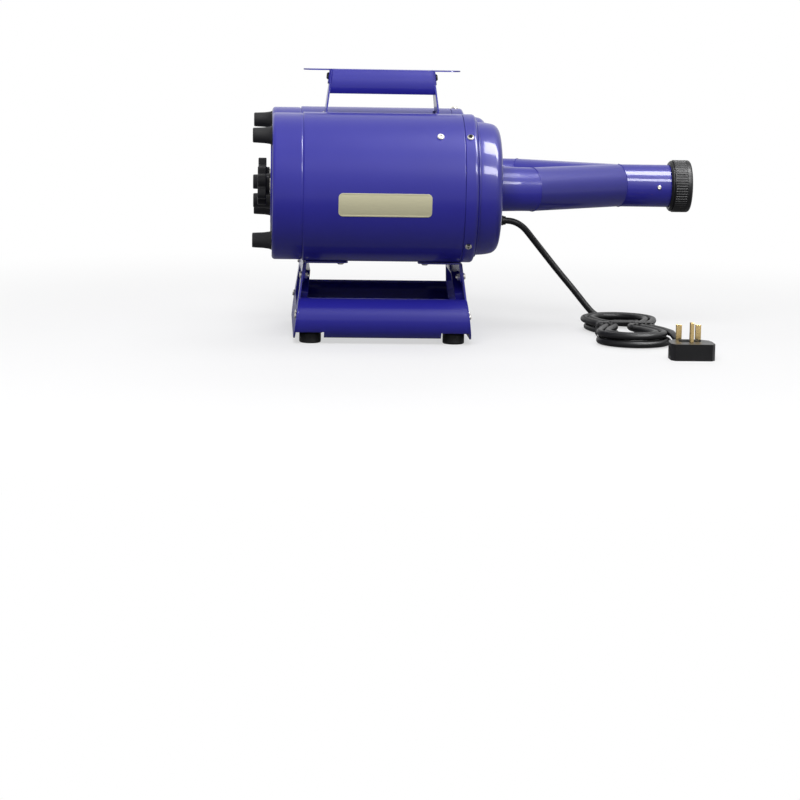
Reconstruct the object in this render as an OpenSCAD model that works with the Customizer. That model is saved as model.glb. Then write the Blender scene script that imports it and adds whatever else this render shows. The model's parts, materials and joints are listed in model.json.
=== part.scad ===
// Twin-motor pet dryer: two drum housings side by side, joined into one outlet tube,
// carried on a folded sheet base with a carrying handle on top.
// +X points out of the outlet, +Z is up, the origin is under the middle of the body.

/* [Drum housings] */
// Gap between the two drums
drum_gap = 6; // [5:0.5:18]
// Height of the drum axes above the floor
axis_height = 181.5; // [180:0.5:190]
// Outer diameter of the main shells
shell_d = 172; // [166:0.5:173]
// Thickness of the housing sheet
sheet = 1.5; // [1.2:0.1:1.8]
// Length of the rear caps
cap_length = 35; // [32:0.5:40]
// Length of the main shells
shell_length = 184; // [180:0.5:200]
// Length of the front collars
collar_length = 15; // [14:0.5:18]
// Step from the shells in to the front domes
dome_step = 8.8; // [8:0.1:11]
// Depth of the front domes
dome_depth = 29; // [26:0.5:34]
// Radius of the rounded dome edge
dome_edge = 12; // [8:0.5:14]

/* [Intake] */
// Lap of the perforated intake covers over the rear caps
cover_lap = 3.5; // [2:0.1:6]
// Diameter of one air hole in the intake covers
air_hole_d = 6; // [4:0.5:6.5]
// Thickness of the filter foam
foam_t = 18; // [12:0.5:20]
// Diameter across the star knobs
knob_d = 44.5; // [38:0.5:48]
// Thickness of the star knob heads
knob_t = 10; // [8:0.5:12]
// Number of lobes on a star knob
knob_lobes = 6; // [5:1:8]
// Diameter of the knob studs
stud_d = 6; // [5:0.5:7]
// Length of the rubber feet on the intake end
end_foot_length = 22.5; // [18:0.5:26]
// Tip diameter of the rubber feet on the intake end
end_foot_d = 17; // [14:0.5:18]
// Distance of those feet's centres in from the caps' edges
end_foot_inset = 15.5; // [15:0.1:18]

/* [Outlet] */
// Outer diameter of the outlet tube
tube_d = 50.8; // [46:0.2:52]
// Wall of the outlet tube
tube_wall = 1.5; // [1.2:0.1:2]
// Length of the straight stubs in front of the domes
stub_length = 40; // [34:0.5:50]
// Angle at which the two branches meet the middle
branch_angle = 38; // [36:0.5:42]
// Length of the single outlet tube
outlet_length = 57.5; // [50:0.5:70]
// Outer diameter of the outlet ring
ring_d = 62.7; // [60:0.1:66]
// Length of the outlet ring
ring_length = 29.5; // [26:0.5:34]
// Bore of the outlet ring, which takes the hose end
ring_bore = 46; // [43:0.2:46.4]

/* [Handle] */
// Height of the top of the handle above the drum axes
handle_rise = 134; // [130:0.5:140]
// Length of the grip at its top
grip_length = 118; // [110:0.5:126]
// Height of the grip
grip_height = 28.5; // [26:0.5:31]
// Width of the flat on top of the grip
grip_flat = 30; // [26:0.5:32]
// Thickness of the grip sheet
grip_sheet = 1.5; // [1.2:0.1:2]
// Thickness of the handle end plates
handle_plate_t = 2; // [1.5:0.1:2.5]
// Reach of the cord hooks beyond the end plates
hook_reach = 29; // [24:0.5:34]
// Width of the cord hooks
hook_width = 24; // [20:0.5:26]

/* [Base] */
// Shift of the base and handle from the middle of the shells to the outlet
carrier_shift = 3; // [0:0.5:3]
// Inset of the base's top from each end of a shell's length
base_inset = 1; // [1:0.5:6]
// Lean of the end plates from upright, in degrees
lean = 7.3; // [6:0.1:8.5]
// Thickness of the base sheet
base_sheet = 2; // [1.5:0.1:2.2]
// Half the distance between the centres of the side panels' curves
panel_offset = 100; // [96:0.5:104]
// Outer radius of the side panels' curve
panel_radius = 24; // [22:0.5:25]
// Height of the centre of the side panels' curve
panel_height = 28.5; // [27.5:0.5:31]
// Diameter of the rubber feet under the base
foot_d = 25.5; // [20:0.5:27]
// Height of the rubber feet under the base
foot_h = 12.5; // [11:0.5:14]

/* [Controls] */
// Diameter of the speed knob
dial_d = 27; // [22:0.5:29]
// Height of the speed knob
dial_h = 13; // [10:0.5:14]
// Length of the rocker switch opening
rocker_length = 17; // [15:0.5:18]
// Width of the rocker switch opening
rocker_width = 11; // [9:0.5:12]

/* [Motors] */
// Thickness of the sound foam round the fan housings
liner_t = 10.7; // [9:0.1:15]
// Length of the fan housings
fan_length = 56; // [50:0.5:60]
// Outer diameter of the motor fields
field_d = 80; // [78:0.5:90]
// Length of the motor fields
field_length = 45; // [40:0.5:48]
// Diameter of the motor shafts
shaft_d = 8; // [7:0.5:9]

/* [Cord] */
// Diameter of the mains cord
cord_d = 8; // [7:0.5:8.5]

/* [Hidden] */

$fn = 64;

// Clearances: a fixed seat, a turning fit, and room round a fastener
seat = 0.3;
running = 0.05;
hole_room = 0.3;

// Sizes that follow from others
axis_gap = shell_d + drum_gap;
dome_d = shell_d - 2 * dome_step;
handle_top = axis_height + handle_rise;

// Stations along X, measured from the intake end face
shell_x = cap_length;
collar_x = shell_x + shell_length;
dome_x = collar_x + collar_length;
face_x = dome_x + dome_depth;
elbow_x = face_x + stub_length;
join_x = elbow_x + axis_gap / 2 / tan(branch_angle);
tube_end_x = join_x + outlet_length;
end_x = tube_end_x + ring_length;
middle_x = (end_x - end_foot_length) / 2;

// Radii of the housings
shell_r = shell_d / 2;
bore_r = shell_r - sheet;
cap_r = shell_r - 1.2;
dome_r = dome_d / 2;
tube_r = tube_d / 2;
tube_bore_r = tube_r - tube_wall;
stub_r = tube_r + 0.8;

// Half lengths of the handle and the base, both centred on one station
carrier_mid = shell_x + shell_length / 2 + carrier_shift;
handle_half = grip_length / 2;
base_half = shell_length / 2 - base_inset;

// Colours
blue = [0.22, 0.19, 0.62];
black = [0.09, 0.09, 0.09];
steel = [0.75, 0.75, 0.76];

// Fasteners
screw_r = 2;
head_r = 4;
head_h = 2.2;
bolt_r = 2;
nut_r = 4;
nut_h = 3.2;

// Size of the blocks that only trim other pieces
block = 400;

// ---------------------------------------------------------------- helpers

// Moves from the intake end face to the model's own frame
module from_rear() {
    translate([-middle_x, 0, 0]) children();
}

// Stands children on a drum axis: side -1 is the near drum, side 1 the far one,
// and the children's Z runs along +X from the station x
module on_axis(side, x = 0) {
    translate([x, side * axis_gap / 2, axis_height]) rotate([0, 90, 0]) children();
}

// Puts children on a drum's skin with their Z pointing out of it.
// The angle is 0 at the outer side of the pair and 90 at the top
module on_skin(side, x, angle, r = shell_r) {
    translate([x, side * axis_gap / 2, axis_height])
        rotate([-side * (90 - angle), 0, 0])
            translate([0, 0, r]) children();
}

// Everything beyond the plane Z = 0
module beyond() {
    translate([-block / 2, -block / 2, 0]) cube(block);
}

// Points of an arc, for profiles
function arc(cx, cy, r, a0, a1, n = 6) =
    [for (i = [0 : n]) [cx + r * cos(a0 + (a1 - a0) * i / n), cy + r * sin(a0 + (a1 - a0) * i / n)]];

// Solid or hollow round bar along Z
module ring(r_out, r_in, h) {
    difference() {
        cylinder(r = r_out, h = h);
        translate([0, 0, -1]) cylinder(r = r_in, h = h + 2);
    }
}

// Pan-head screw, its head's underside at Z = 0 and its shank below
module screw(length, r = screw_r, head = head_r) {
    translate([0, 0, -length]) cylinder(r = r, h = length + 0.5);
    difference() {
        union() {
            cylinder(r = head, h = head_h * 0.5);
            translate([0, 0, head_h * 0.5]) cylinder(r1 = head, r2 = head * 0.72, h = head_h * 0.5);
        }
        translate([0, 0, head_h - 0.8]) cube([head, 0.9, 4], center = true);
        translate([0, 0, head_h - 0.8]) cube([0.9, head, 4], center = true);
    }
}

// Hexagon nut standing on Z = 0
module nut(r = nut_r, h = nut_h) {
    difference() {
        cylinder(r = r, h = h, $fn = 6);
        translate([0, 0, -1]) cylinder(r = bolt_r + running, h = h + 2);
    }
}

// ---------------------------------------------------------------- housings

// Angles of the four collar screws on each drum
function collar_screw_angles(side) = side < 0 ? [46, 136, 226, 314] : [85, 175, 265, 355];
collar_screw_x = collar_x + 6;
side_screw_angle = 46;

// Stations of the fan, the motor and the strut that the side screw holds
baffle_x = cap_length + 17;
baffle_t = 2;
gasket_t = 4;
fan_x = baffle_x + baffle_t + gasket_t;
fan_end_x = fan_x + fan_length;
field_x = fan_end_x + 4;
nose_gap = 14;
bearing_t = 7;
rear_bearing_x = fan_end_x - 8;
front_bearing_x = field_x + field_length + nose_gap;
strut_x = front_bearing_x + bearing_t + 1;
strut_flange = 11;
side_screw_x = strut_x + strut_flange / 2 + 0.5;

// Bracket screws on the drums, as distances from the middle of handle and base
handle_screw_in = 10;
base_screw_in = 41.7;
handle_screw_x = handle_half - handle_screw_in;
base_screw_x = base_half - base_screw_in;
handle_screw_xs = [carrier_mid - handle_screw_x, carrier_mid + handle_screw_x];
base_screw_xs = [carrier_mid - base_screw_x, carrier_mid + base_screw_x];
handle_screw_angle = 128;
// How far a screw reaches below the drum's skin: just through the sheet
skin_bite = sheet - 0.1;
spigot_length = 9;
spigot_r = bore_r - seat;

module screw_holes(side) {
    for (x = handle_screw_xs)
        on_skin(side, x, handle_screw_angle, shell_r - 6) cylinder(r = screw_r + hole_room, h = 12);
    for (x = base_screw_xs)
        on_skin(side, x, 270, shell_r - 6) cylinder(r = screw_r + hole_room, h = 12);
    on_skin(side, side_screw_x, side_screw_angle, shell_r - 6) cylinder(r = screw_r + hole_room, h = 12);
}

module shell(side) {
    color(blue) difference() {
        on_axis(side, shell_x) rotate_extrude()
            polygon(concat(
                [[bore_r, 0.2], [shell_r - 1.2, 0.2]],
                arc(shell_r - 1.2, 1.4, 1.2, -90, 0, 4),
                [[shell_r, shell_length - 0.2], [bore_r, shell_length - 0.2]]));
        screw_holes(side);
    }
}

// Drawn rear cap: rounded edge, flat end with the intake opening, and a spigot in the shell
module rear_cap(side) {
    edge = 4;
    color(blue) difference() {
        on_axis(side) rotate_extrude()
            polygon(concat(
                [[intake_d / 2, 0]],
                arc(cap_r - edge, edge, edge, -90, 0, 5),
                [[cap_r, cap_length - 1.6], [spigot_r, cap_length - 0.6], [spigot_r, cap_length + spigot_length],
                 [spigot_r - sheet, cap_length + spigot_length], [spigot_r - sheet, cap_length - 3]],
                [[cap_r - sheet, cap_length - 4]],
                arc(cap_r - edge, edge, edge - sheet, 0, -90, 5),
                [[intake_d / 2, sheet]]));
        for (angle = end_foot_angles(side))
            on_axis(side, -1) rotate([0, 0, axis_turn(side, angle)])
                translate([end_foot_radius, 0, 0]) cylinder(r = screw_r + hole_room, h = 12);
    }
}

// Turn about the drum axis that brings local +X to a skin angle
function axis_turn(side, angle) = side < 0 ? 270 - angle : 90 + angle;

module front_collar(side) {
    edge = 4;
    lip_r = dome_r + 1.2;
    color(blue) difference() {
        on_axis(side, collar_x) rotate_extrude()
            polygon(concat(
                [[spigot_r, -8], [spigot_r, 0.3], [shell_r, 0.3]],
                arc(shell_r - edge, collar_length - edge, edge, 0, 90, 5),
                [[lip_r, collar_length], [lip_r, collar_length - sheet]],
                arc(shell_r - edge, collar_length - edge, edge - sheet, 90, 0, 5),
                [[bore_r, 3], [spigot_r - sheet, 2], [spigot_r - sheet, -8]]));
        for (angle = collar_screw_angles(side))
            on_skin(side, collar_screw_x, angle, shell_r - 6) cylinder(r = screw_r + hole_room, h = 12);
    }
}

// Spun front dome: a flange behind the collar's lip, a short wall, a rounded edge and a flat face
flange_x = collar_length - sheet - seat;
dome_bore_r = stub_r + seat;

module front_dome(side) {
    inner_edge = dome_edge - sheet;
    color(blue) difference() {
        on_axis(side, collar_x) rotate_extrude()
            polygon(concat(
                [[dome_r - sheet, flange_x - sheet], [shell_r - 4.5, flange_x - sheet],
                 [shell_r - 4.5, flange_x], [dome_r, flange_x], [dome_r, collar_length + 2]],
                arc(dome_r - 1.6 - dome_edge, collar_length + dome_depth - dome_edge, dome_edge, 0, 90, 8),
                [[dome_bore_r, collar_length + dome_depth],
                 [dome_bore_r, collar_length + dome_depth - sheet]],
                arc(dome_r - 1.6 - dome_edge, collar_length + dome_depth - dome_edge, inner_edge, 90, 0, 8),
                [[dome_r - sheet, collar_length + 2]]));
        if (side > 0) {
            at_dial() translate([0, 0, -6]) cylinder(r = bush_r + hole_room, h = 12);
            at_switch() cube([rocker_length + 4, rocker_width + 4.4, 12], center = true);
            at_gland() translate([0, 0, -6]) cylinder(r = gland_r + hole_room, h = 12);
        }
    }
}

// Round rubber beads in the corner between each collar and dome
module dome_seals() {
    color(black) for (side = [-1, 1])
        on_axis(side, dome_x + 1.3) rotate_extrude() translate([dome_r + 1.6, 0]) circle(r = 1.2, $fn = 24);
}

// ---------------------------------------------------------------- intake end

// Skin angles of the rubber feet on the intake end
function end_foot_angles(side) = side < 0 ? [60, 180, 300] : [81.5, 201.5, 321.5];

end_foot_radius = cap_r - end_foot_inset;
end_foot_flare = 2.6;
cover_d = 2 * (end_foot_radius - end_foot_d / 2 - end_foot_flare - 0.7);
intake_d = cover_d - 2 * cover_lap;
cover_t = 1.5;
grid_x = sheet + foam_t + 1;
hub_r = 11;
hub_h = 3.8;
washer_t = 1;
knob_seat_x = -cover_t - washer_t - 0.4;
knob_head_x = knob_seat_x - hub_h;
stud_tip_x = knob_head_x - knob_t + 3;

// Rings of air holes, six more holes on each ring outwards
air_ring_r = 17;
air_ring_pitch = 9;
air_ring_holes = 10;
air_ring_last = floor((intake_d / 2 - air_hole_d / 2 - 4 - air_ring_r) / air_ring_pitch);

module intake_cover(side) {
    color(blue) on_axis(side, -cover_t - 0.2) difference() {
        cylinder(r = cover_d / 2, h = cover_t);
        translate([0, 0, -1]) cylinder(r = stud_d / 2 + hole_room, h = cover_t + 2);
        for (k = [0 : air_ring_last]) {
            holes = air_ring_holes + 6 * k;
            for (i = [0 : holes - 1])
                rotate([0, 0, i * 360 / holes]) translate([air_ring_r + air_ring_pitch * k, 0, -1])
                    cylinder(r = air_hole_d / 2, h = cover_t + 2);
        }
    }
}

module filter_foam(side) {
    color([0.2, 0.2, 0.22]) on_axis(side, 0.5)
        ring(intake_d / 2 - 1, stud_d / 2 + 1, foam_t + sheet - 0.3);
}

// Spider that carries the foam and the stud, with the stud welded in its middle
module knob_stud(side) {
    grid_r = cap_r - sheet - seat;
    rim = 6;
    arm = 12;
    color(steel) {
        on_axis(side, grid_x) linear_extrude(2) {
            difference() {
                circle(r = grid_r);
                circle(r = grid_r - rim);
            }
            for (i = [0 : 2])
                rotate(axis_turn(side, 30 + i * 120))
                    translate([0, -arm / 2]) square([grid_r - rim / 2, arm]);
            circle(r = arm + 2);
        }
        on_axis(side, stud_tip_x) cylinder(r = stud_d / 2, h = grid_x - stud_tip_x + 3.5);
        on_axis(side, -cover_t - 0.3 - washer_t) ring(9, stud_d / 2 + 0.1, washer_t);
    }
}

// Star knob: lobed head, round hub and a blind bore for the stud
module star_knob(side) {
    lobe_r = knob_d * 0.14;
    lobe_ring = knob_d / 2 - lobe_r;
    color(black) difference() {
        union() {
            on_axis(side, knob_head_x - knob_t) {
                cylinder(r = lobe_ring, h = knob_t);
                for (i = [0 : knob_lobes - 1])
                    rotate([0, 0, i * 360 / knob_lobes])
                        translate([lobe_ring, 0, 0]) cylinder(r = lobe_r, h = knob_t);
            }
            on_axis(side, knob_head_x) cylinder(r = hub_r, h = hub_h);
        }
        for (i = [0 : knob_lobes - 1])
            on_axis(side, knob_head_x - knob_t - 1) rotate([0, 0, (i + 0.5) * 360 / knob_lobes])
                translate([lobe_ring + lobe_r * 0.9, 0, 0]) cylinder(r = lobe_r * 0.8, h = knob_t + 2);
        on_axis(side, stud_tip_x - 0.5) cylinder(r = stud_d / 2 + running, h = 40);
    }
}

// Tapered rubber feet on the intake end, flared where they meet the cap
module end_feet() {
    tip_r = end_foot_d / 2;
    for (side = [-1, 1])
        for (angle = end_foot_angles(side))
            on_axis(side) rotate([0, 0, axis_turn(side, angle)]) translate([end_foot_radius, 0, 0]) {
                color(black) difference() {
                    rotate_extrude(convexity = 4) polygon(concat(
                        [[0, -0.1], [tip_r + end_foot_flare, -0.1], [tip_r + 1.4, -3], [tip_r + 0.6, -9]],
                        arc(tip_r - 1.2, -end_foot_length + 1.2, 1.2, 0, -90, 3),
                        [[0, -end_foot_length]]));
                    translate([0, 0, -end_foot_length - 1]) cylinder(r = 4.2, h = 13);
                    translate([0, 0, -end_foot_length]) cylinder(r = screw_r + 0.1, h = 40);
                }
                color(steel) translate([0, 0, -end_foot_length + 12.1]) mirror([0, 0, 1])
                    screw(end_foot_length - 6, head = 3.8);
            }
}

// ---------------------------------------------------------------- motors

bearing_r = 11;
shaft_r = shaft_d / 2;
mount_r = bore_r - seat;
liner_room = 1;
fan_d = 2 * (mount_r - liner_t - liner_room);
post_ring = 33;
post_r = 5;

// Baffle with its rubber gasket behind the fan, and a three-armed strut at the motor's nose
module motor_mount(side) {
    arm = 14;
    color(steel) {
        on_axis(side, baffle_x) ring(mount_r, 30, baffle_t);
        on_axis(side, strut_x) difference() {
            union() {
                ring(mount_r, mount_r - 6, 2);
                ring(mount_r, mount_r - 2, strut_flange);
                for (i = [0 : 2])
                    rotate([0, 0, i * 120]) translate([0, -arm / 2, 0]) cube([mount_r - 3, arm, 2]);
                cylinder(r = 20, h = 2);
            }
            translate([0, 0, -1]) cylinder(r = shaft_r + 2, h = 4);
            rotate([0, 0, axis_turn(side, side_screw_angle)]) translate([mount_r - 5, 0, side_screw_x - strut_x])
                rotate([0, 90, 0]) cylinder(r = screw_r + hole_room, h = 8);
        }
    }
    color(black) on_axis(side, baffle_x + baffle_t) ring(60, 42, gasket_t);
}

module fan_housing(side) {
    wall = 1.2;
    color(steel) on_axis(side, fan_x) difference() {
        cylinder(r = fan_d / 2, h = fan_length);
        translate([0, 0, wall]) cylinder(r = fan_d / 2 - wall, h = fan_length - 2 * wall - 2);
        translate([0, 0, -1]) cylinder(r = 27, h = 4);
        translate([0, 0, fan_length - 10]) cylinder(r = bearing_r + running, h = 20);
        for (i = [0 : 7])
            rotate([0, 0, i * 45]) translate([fan_d / 2 - 16, 0, fan_length - 5]) cylinder(r = 9, h = 8);
    }
}

// Wound field in its frame, with the front bearing bracket
module motor_field(side) {
    bracket_x = field_x + field_length;
    color([0.42, 0.3, 0.2]) on_axis(side, field_x) difference() {
        union() {
            ring(field_d / 2, 25, field_length);
            for (i = [0 : 3])
                rotate([0, 0, 45 + i * 90]) translate([post_ring, 0, field_length - 1])
                    cylinder(r = post_r, h = nose_gap + 5);
            translate([0, 0, field_length + nose_gap]) ring(post_ring + 6.5, bearing_r + running, bearing_t);
        }
        for (i = [0 : 3])
            rotate([0, 0, i * 90]) translate([field_d / 2, 0, -1]) cylinder(r = 9, h = field_length + 2);
    }
    color(steel) on_axis(side, fan_end_x + 0.2) for (i = [0 : 3])
        rotate([0, 0, 45 + i * 90]) translate([post_ring, 0, 0]) cylinder(r = post_r, h = 3.7);
    color(black) for (i = [-1, 1])
        on_axis(side, bracket_x + nose_gap - 5.4) translate([i * 22, 0, 0]) cube([16, 10, 10], center = true);
}

// Shaft with the fan wheel, the wound core and the commutator
module rotor(side) {
    wheel_x = fan_x + 12;
    color(steel) on_axis(side, fan_x + 8) cylinder(r = shaft_r, h = strut_x - fan_x - 6);
    color([0.7, 0.7, 0.72]) on_axis(side, wheel_x) difference() {
        union() {
            cylinder(r = fan_d / 2 - 7, h = 1.5);
            translate([0, 0, 18]) cylinder(r = fan_d / 2 - 7, h = 1.5);
            cylinder(r = 12, h = 19);
            for (i = [0 : 8])
                rotate([0, 0, i * 40]) translate([22, 0, 0]) rotate([0, 0, -35])
                    cube([44, 1.6, 19]);
        }
        translate([0, 0, -1]) ring(26, 12, 3);
        translate([0, 0, -1]) cylinder(r = shaft_r - 0.2, h = 30);
    }
    color([0.5, 0.33, 0.2]) on_axis(side, field_x + 6) ring(24, shaft_r - 0.2, field_length - 14);
    color([0.72, 0.45, 0.2]) on_axis(side, field_x + field_length - 6) ring(13, shaft_r - 0.2, nose_gap + 2);
}

module motor_bearings() {
    color(steel) for (side = [-1, 1])
        for (x = [rear_bearing_x, front_bearing_x])
            on_axis(side, x) ring(bearing_r, shaft_r + running, bearing_t);
}

module foam_liner(side) {
    color([0.3, 0.3, 0.32]) on_axis(side, fan_x) ring(mount_r, fan_d / 2 + liner_room, strut_x - fan_x - 1);
}

// ---------------------------------------------------------------- outlet

// The tubes are cut square across each bend, so that their cut ends match, and welded there
mitre = branch_angle / 2;
weld_half = 0.4;
weld_rise = 0.6;
weld_lap = 0.2;
cone_length = stub_length - 12;
branch_length = axis_gap / 2 / sin(branch_angle);

module at_elbow(side) {
    translate([elbow_x, side * axis_gap / 2, axis_height]) children();
}

module at_join() {
    translate([join_x, 0, axis_height]) children();
}

// Everything beyond the plane of a bend, or before it, moved out by the given amount
module past_bend(side, out) {
    rotate([0, 0, -side * mitre]) translate([out, -block / 2, -block / 2]) cube(block);
}

module before_bend(side, out) {
    rotate([0, 0, -side * mitre]) translate([out - block, -block / 2, -block / 2]) cube(block);
}

// Round bar through the origin, turned in the plane of the tubes
module run(r, turn, length, back) {
    rotate([0, 0, turn]) translate([-back, 0, 0]) rotate([0, 90, 0]) cylinder(r = r, h = length + back);
}

// The two branches and the single tube with their welds, as one body of the given radii
module manifold_body(r, r_stub, extra) {
    for (side = [-1, 1]) {
        on_axis(side, face_x - 6 - extra) cylinder(r = r_stub, h = 6 + extra);
        on_axis(side, face_x) cylinder(r1 = r_stub, r2 = r, h = cone_length);
        at_elbow(side) {
            difference() {
                run(r, 0, r, stub_length - cone_length + 0.5);
                past_bend(side, weld_lap);
            }
            difference() {
                run(r + weld_rise, 0, r, r);
                past_bend(side, weld_half);
                before_bend(side, -weld_half);
            }
        }
        difference() {
            at_elbow(side) run(r, -side * branch_angle, branch_length + 2 * r, r);
            at_elbow(side) before_bend(side, -weld_lap);
            at_join() past_bend(side, weld_lap);
        }
    }
    at_join() {
        difference() {
            run(r, 0, outlet_length + ring_lip - 0.5 + extra, r);
            before_bend(-1, -weld_lap);
            before_bend(1, -weld_lap);
        }
        difference() {
            run(r + weld_rise, 0, r, r);
            before_bend(-1, -weld_half);
            before_bend(1, -weld_half);
            intersection() {
                past_bend(-1, weld_half);
                past_bend(1, weld_half);
            }
        }
    }
}

module outlet_manifold() {
    color(blue) difference() {
        union() {
            manifold_body(tube_r, stub_r, 0);
            for (side = [-1, 1])
                on_axis(side, face_x - sheet - seat - 2) cylinder(r = stub_r + 5, h = 2);
        }
        manifold_body(tube_bore_r, stub_r - tube_wall, 4);
        translate([outlet_screw_x, 0, axis_height]) rotate([90, 0, 0])
            cylinder(r = screw_r * 0.8 + hole_room, h = tube_r + 5);
    }
}

outlet_screw_x = tube_end_x - 11;

// Moulded ring on the tube's end: bevelled back flange, groove, body with shallow panels, rounded mouth
ring_panels = 24;
panel_width = 5.4;
panel_depth = 1.1;
ring_edge = 4;
ring_lip = 12.5;

module outlet_ring() {
    r = ring_d / 2;
    color(black) translate([tube_end_x, 0, axis_height]) rotate([0, 90, 0]) difference() {
        rotate_extrude() polygon(concat(
            [[tube_r + seat, 0], [r - 4, 0], [r - 1.2, 3.4], [r - 1.2, 5.6], [r - 2.4, 6.2], [r - 2.4, 7.4],
             [r, 8]],
            arc(r - ring_edge, ring_length - ring_edge, ring_edge, 0, 90, 5),
            [[ring_bore / 2, ring_length], [ring_bore / 2, ring_lip], [tube_r + seat, ring_lip]]));
        for (i = [0 : ring_panels - 1])
            rotate([0, 0, (i + 0.5) * 360 / ring_panels])
                translate([r - panel_depth, -panel_width / 2, 10]) cube([3, panel_width, ring_length - ring_edge - 11.5]);
    }
}

// ---------------------------------------------------------------- controls

bush_r = 4.5;
dial_offset = [40.8, 19];
switch_offset = [39.7, -21];
gland_drop = 51.5;
gland_r = 7.8;

// Places on the far dome's face, with Z pointing out of it
module at_far_face(out, up) {
    translate([face_x, axis_gap / 2 + out, axis_height + up]) rotate([0, 90, 0]) children();
}

module at_dial() {
    at_far_face(dial_offset[0], dial_offset[1]) children();
}

module at_switch() {
    at_far_face(switch_offset[0], switch_offset[1]) children();
}

module at_gland() {
    at_far_face(0, -gland_drop) children();
}

// Ribbed knob with its shaft
module speed_knob() {
    ribs = 18;
    color(black) at_dial() {
        difference() {
            union() {
                translate([0, 0, 3]) cylinder(r = dial_d / 2 - 1, h = dial_h - 3);
                translate([0, 0, 3]) cylinder(r = dial_d / 2 + 1.5, h = 2);
                for (i = [0 : ribs - 1])
                    rotate([0, 0, i * 360 / ribs]) translate([dial_d / 2 - 1, 0, 3])
                        cylinder(r = 1, h = dial_h - 4, $fn = 16);
            }
            translate([0, 0, 2]) cylinder(r = bush_r + 1.6, h = 4);
        }
        translate([0, 0, -12]) cylinder(r = 3, h = dial_h + 8);
    }
}

// Potentiometer behind the dome: round case, threaded bush through the dome and its nut
module speed_control() {
    color(steel) at_dial() {
        difference() {
            union() {
                translate([0, 0, -sheet - 0.2 - 10]) cylinder(r = 12, h = 10);
                translate([0, 0, -sheet - 1]) cylinder(r = bush_r, h = sheet + 4.6);
            }
            translate([0, 0, -13]) cylinder(r = 3 + running, h = 30);
        }
    }
}

// Rocker, drawn in its off position, which turns about the cross axis through its middle
pin_r = 1;

module rocker() {
    half = rocker_length / 2 - 0.5;
    color(black) at_switch() rotate([90, 0, 0]) {
        translate([0, 0, -rocker_width / 2 + seat]) linear_extrude(rocker_width - 2 * seat)
            polygon([[-half, -1.5], [-half, 5], [0, 2.6], [half, 3.1], [half - 0.8, -2.8], [0, -5]]);
        translate([0, 0, -rocker_width / 2 - 1]) cylinder(r = pin_r, h = rocker_width + 2);
    }
}

module switch_frame() {
    color(black) at_switch() difference() {
        union() {
            translate([0, 0, 1.05]) cube([rocker_length + 7, rocker_width + 7, 1.9], center = true);
            translate([0, 0, -7]) cube([rocker_length + 3.4, rocker_width + 3.8, 15], center = true);
        }
        cube([rocker_length + 1.4, rocker_width + 0.2, 12], center = true);
        rotate([90, 0, 0]) cylinder(r = pin_r + running, h = rocker_width + 2.6, center = true);
    }
}

// Circuit board of the speed control on two posts from the far motor's strut
board = [1.6, 90, 60];
board_gap = 11;
board_post = 40;
heat_sink = [12, 30, 44];
fin_pitch = 5.4;
fin_slot = 2.6;

module control_board() {
    board_x = strut_x + 2 + board_gap;
    face = board_x + board[0];
    color([0.1, 0.4, 0.2]) translate([board_x, (axis_gap - board[1]) / 2, axis_height - board[2] / 2]) cube(board);
    color(steel) for (turn = [120, 240])
        on_axis(1, strut_x + 2.1) rotate([0, 0, turn]) translate([board_post, 0, 0])
            cylinder(r = 3, h = board_gap - 0.2);
    color(black) translate([face + 0.1, axis_gap / 2 - 30, axis_height - 20]) cube([4, 12, 16]);
    color([0.8, 0.8, 0.82]) translate([face + 0.1, axis_gap / 2 + 6, axis_height - heat_sink[2] / 2]) difference() {
        cube(heat_sink);
        for (i = [0 : 4])
            translate([3, 3 + i * fin_pitch, -1]) cube([heat_sink[0], fin_slot, heat_sink[2] + 2]);
    }
}

// ---------------------------------------------------------------- handle

grip_drop = 18;
grip_round = sqrt(pow(grip_flat / 2, 2) + pow(grip_drop, 2));
grip_lip = 1.6;
grip_blank = grip_length + 40;

// Stands children in the plane of a leaning plate: local X is across the object,
// local Y is up the plate from the height z0, local Z points away from the middle
module on_plate(end, half_length, z0) {
    translate([carrier_mid, 0, z0]) mirror([end < 0 ? 1 : 0, 0, 0])
        translate([half_length, 0, 0]) rotate([0, -lean, 0]) rotate([90, 0, 90]) children();
}

// Stands children on the inner face of a handle or base end plate, moved out by the given amount
module on_handle(end, out = 0) {
    on_plate(end, handle_half, handle_top) translate([0, 0, out]) children();
}

module on_base(end, out = 0) {
    on_plate(end, base_half, base_top) translate([0, 0, out]) children();
}

// Height on a leaning plate, measured along it from its top edge
function along_handle(z) = (z - handle_top) / cos(lean);
function along_base(z) = (z - base_top) / cos(lean);

module grip_section(r, top, bottom) {
    intersection() {
        translate([-grip_drop, 0]) circle(r = r);
        translate([bottom, -60]) square([top - bottom, 120]);
    }
}

// Rolled sheet grip, open below, with rolled-in lower edges, cut to the lean of the end plates
module handle_grip() {
    color(blue) difference() {
        translate([carrier_mid - grip_blank / 2, 0, handle_top]) rotate([0, -90, 0]) mirror([0, 0, 1])
            linear_extrude(grip_blank) difference() {
                grip_section(grip_round, 0, -grip_height);
                grip_section(grip_round - grip_sheet, -grip_sheet, -grip_height - 1);
            }
        for (end = [-1, 1])
            on_handle(end, -0.1) beyond();
    }
    color(blue) for (side = [-1, 1]) difference() {
        translate([carrier_mid - grip_blank / 2, side * grip_lip_y, handle_top - grip_height + grip_lip])
            rotate([0, 90, 0]) cylinder(r = grip_lip, h = grip_blank);
        for (end = [-1, 1])
            on_handle(end, -0.1) beyond();
    }
}

grip_lip_y = sqrt(pow(grip_round - grip_sheet, 2) - pow(grip_height - grip_drop - grip_lip, 2)) - grip_lip - 0.05;

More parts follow.
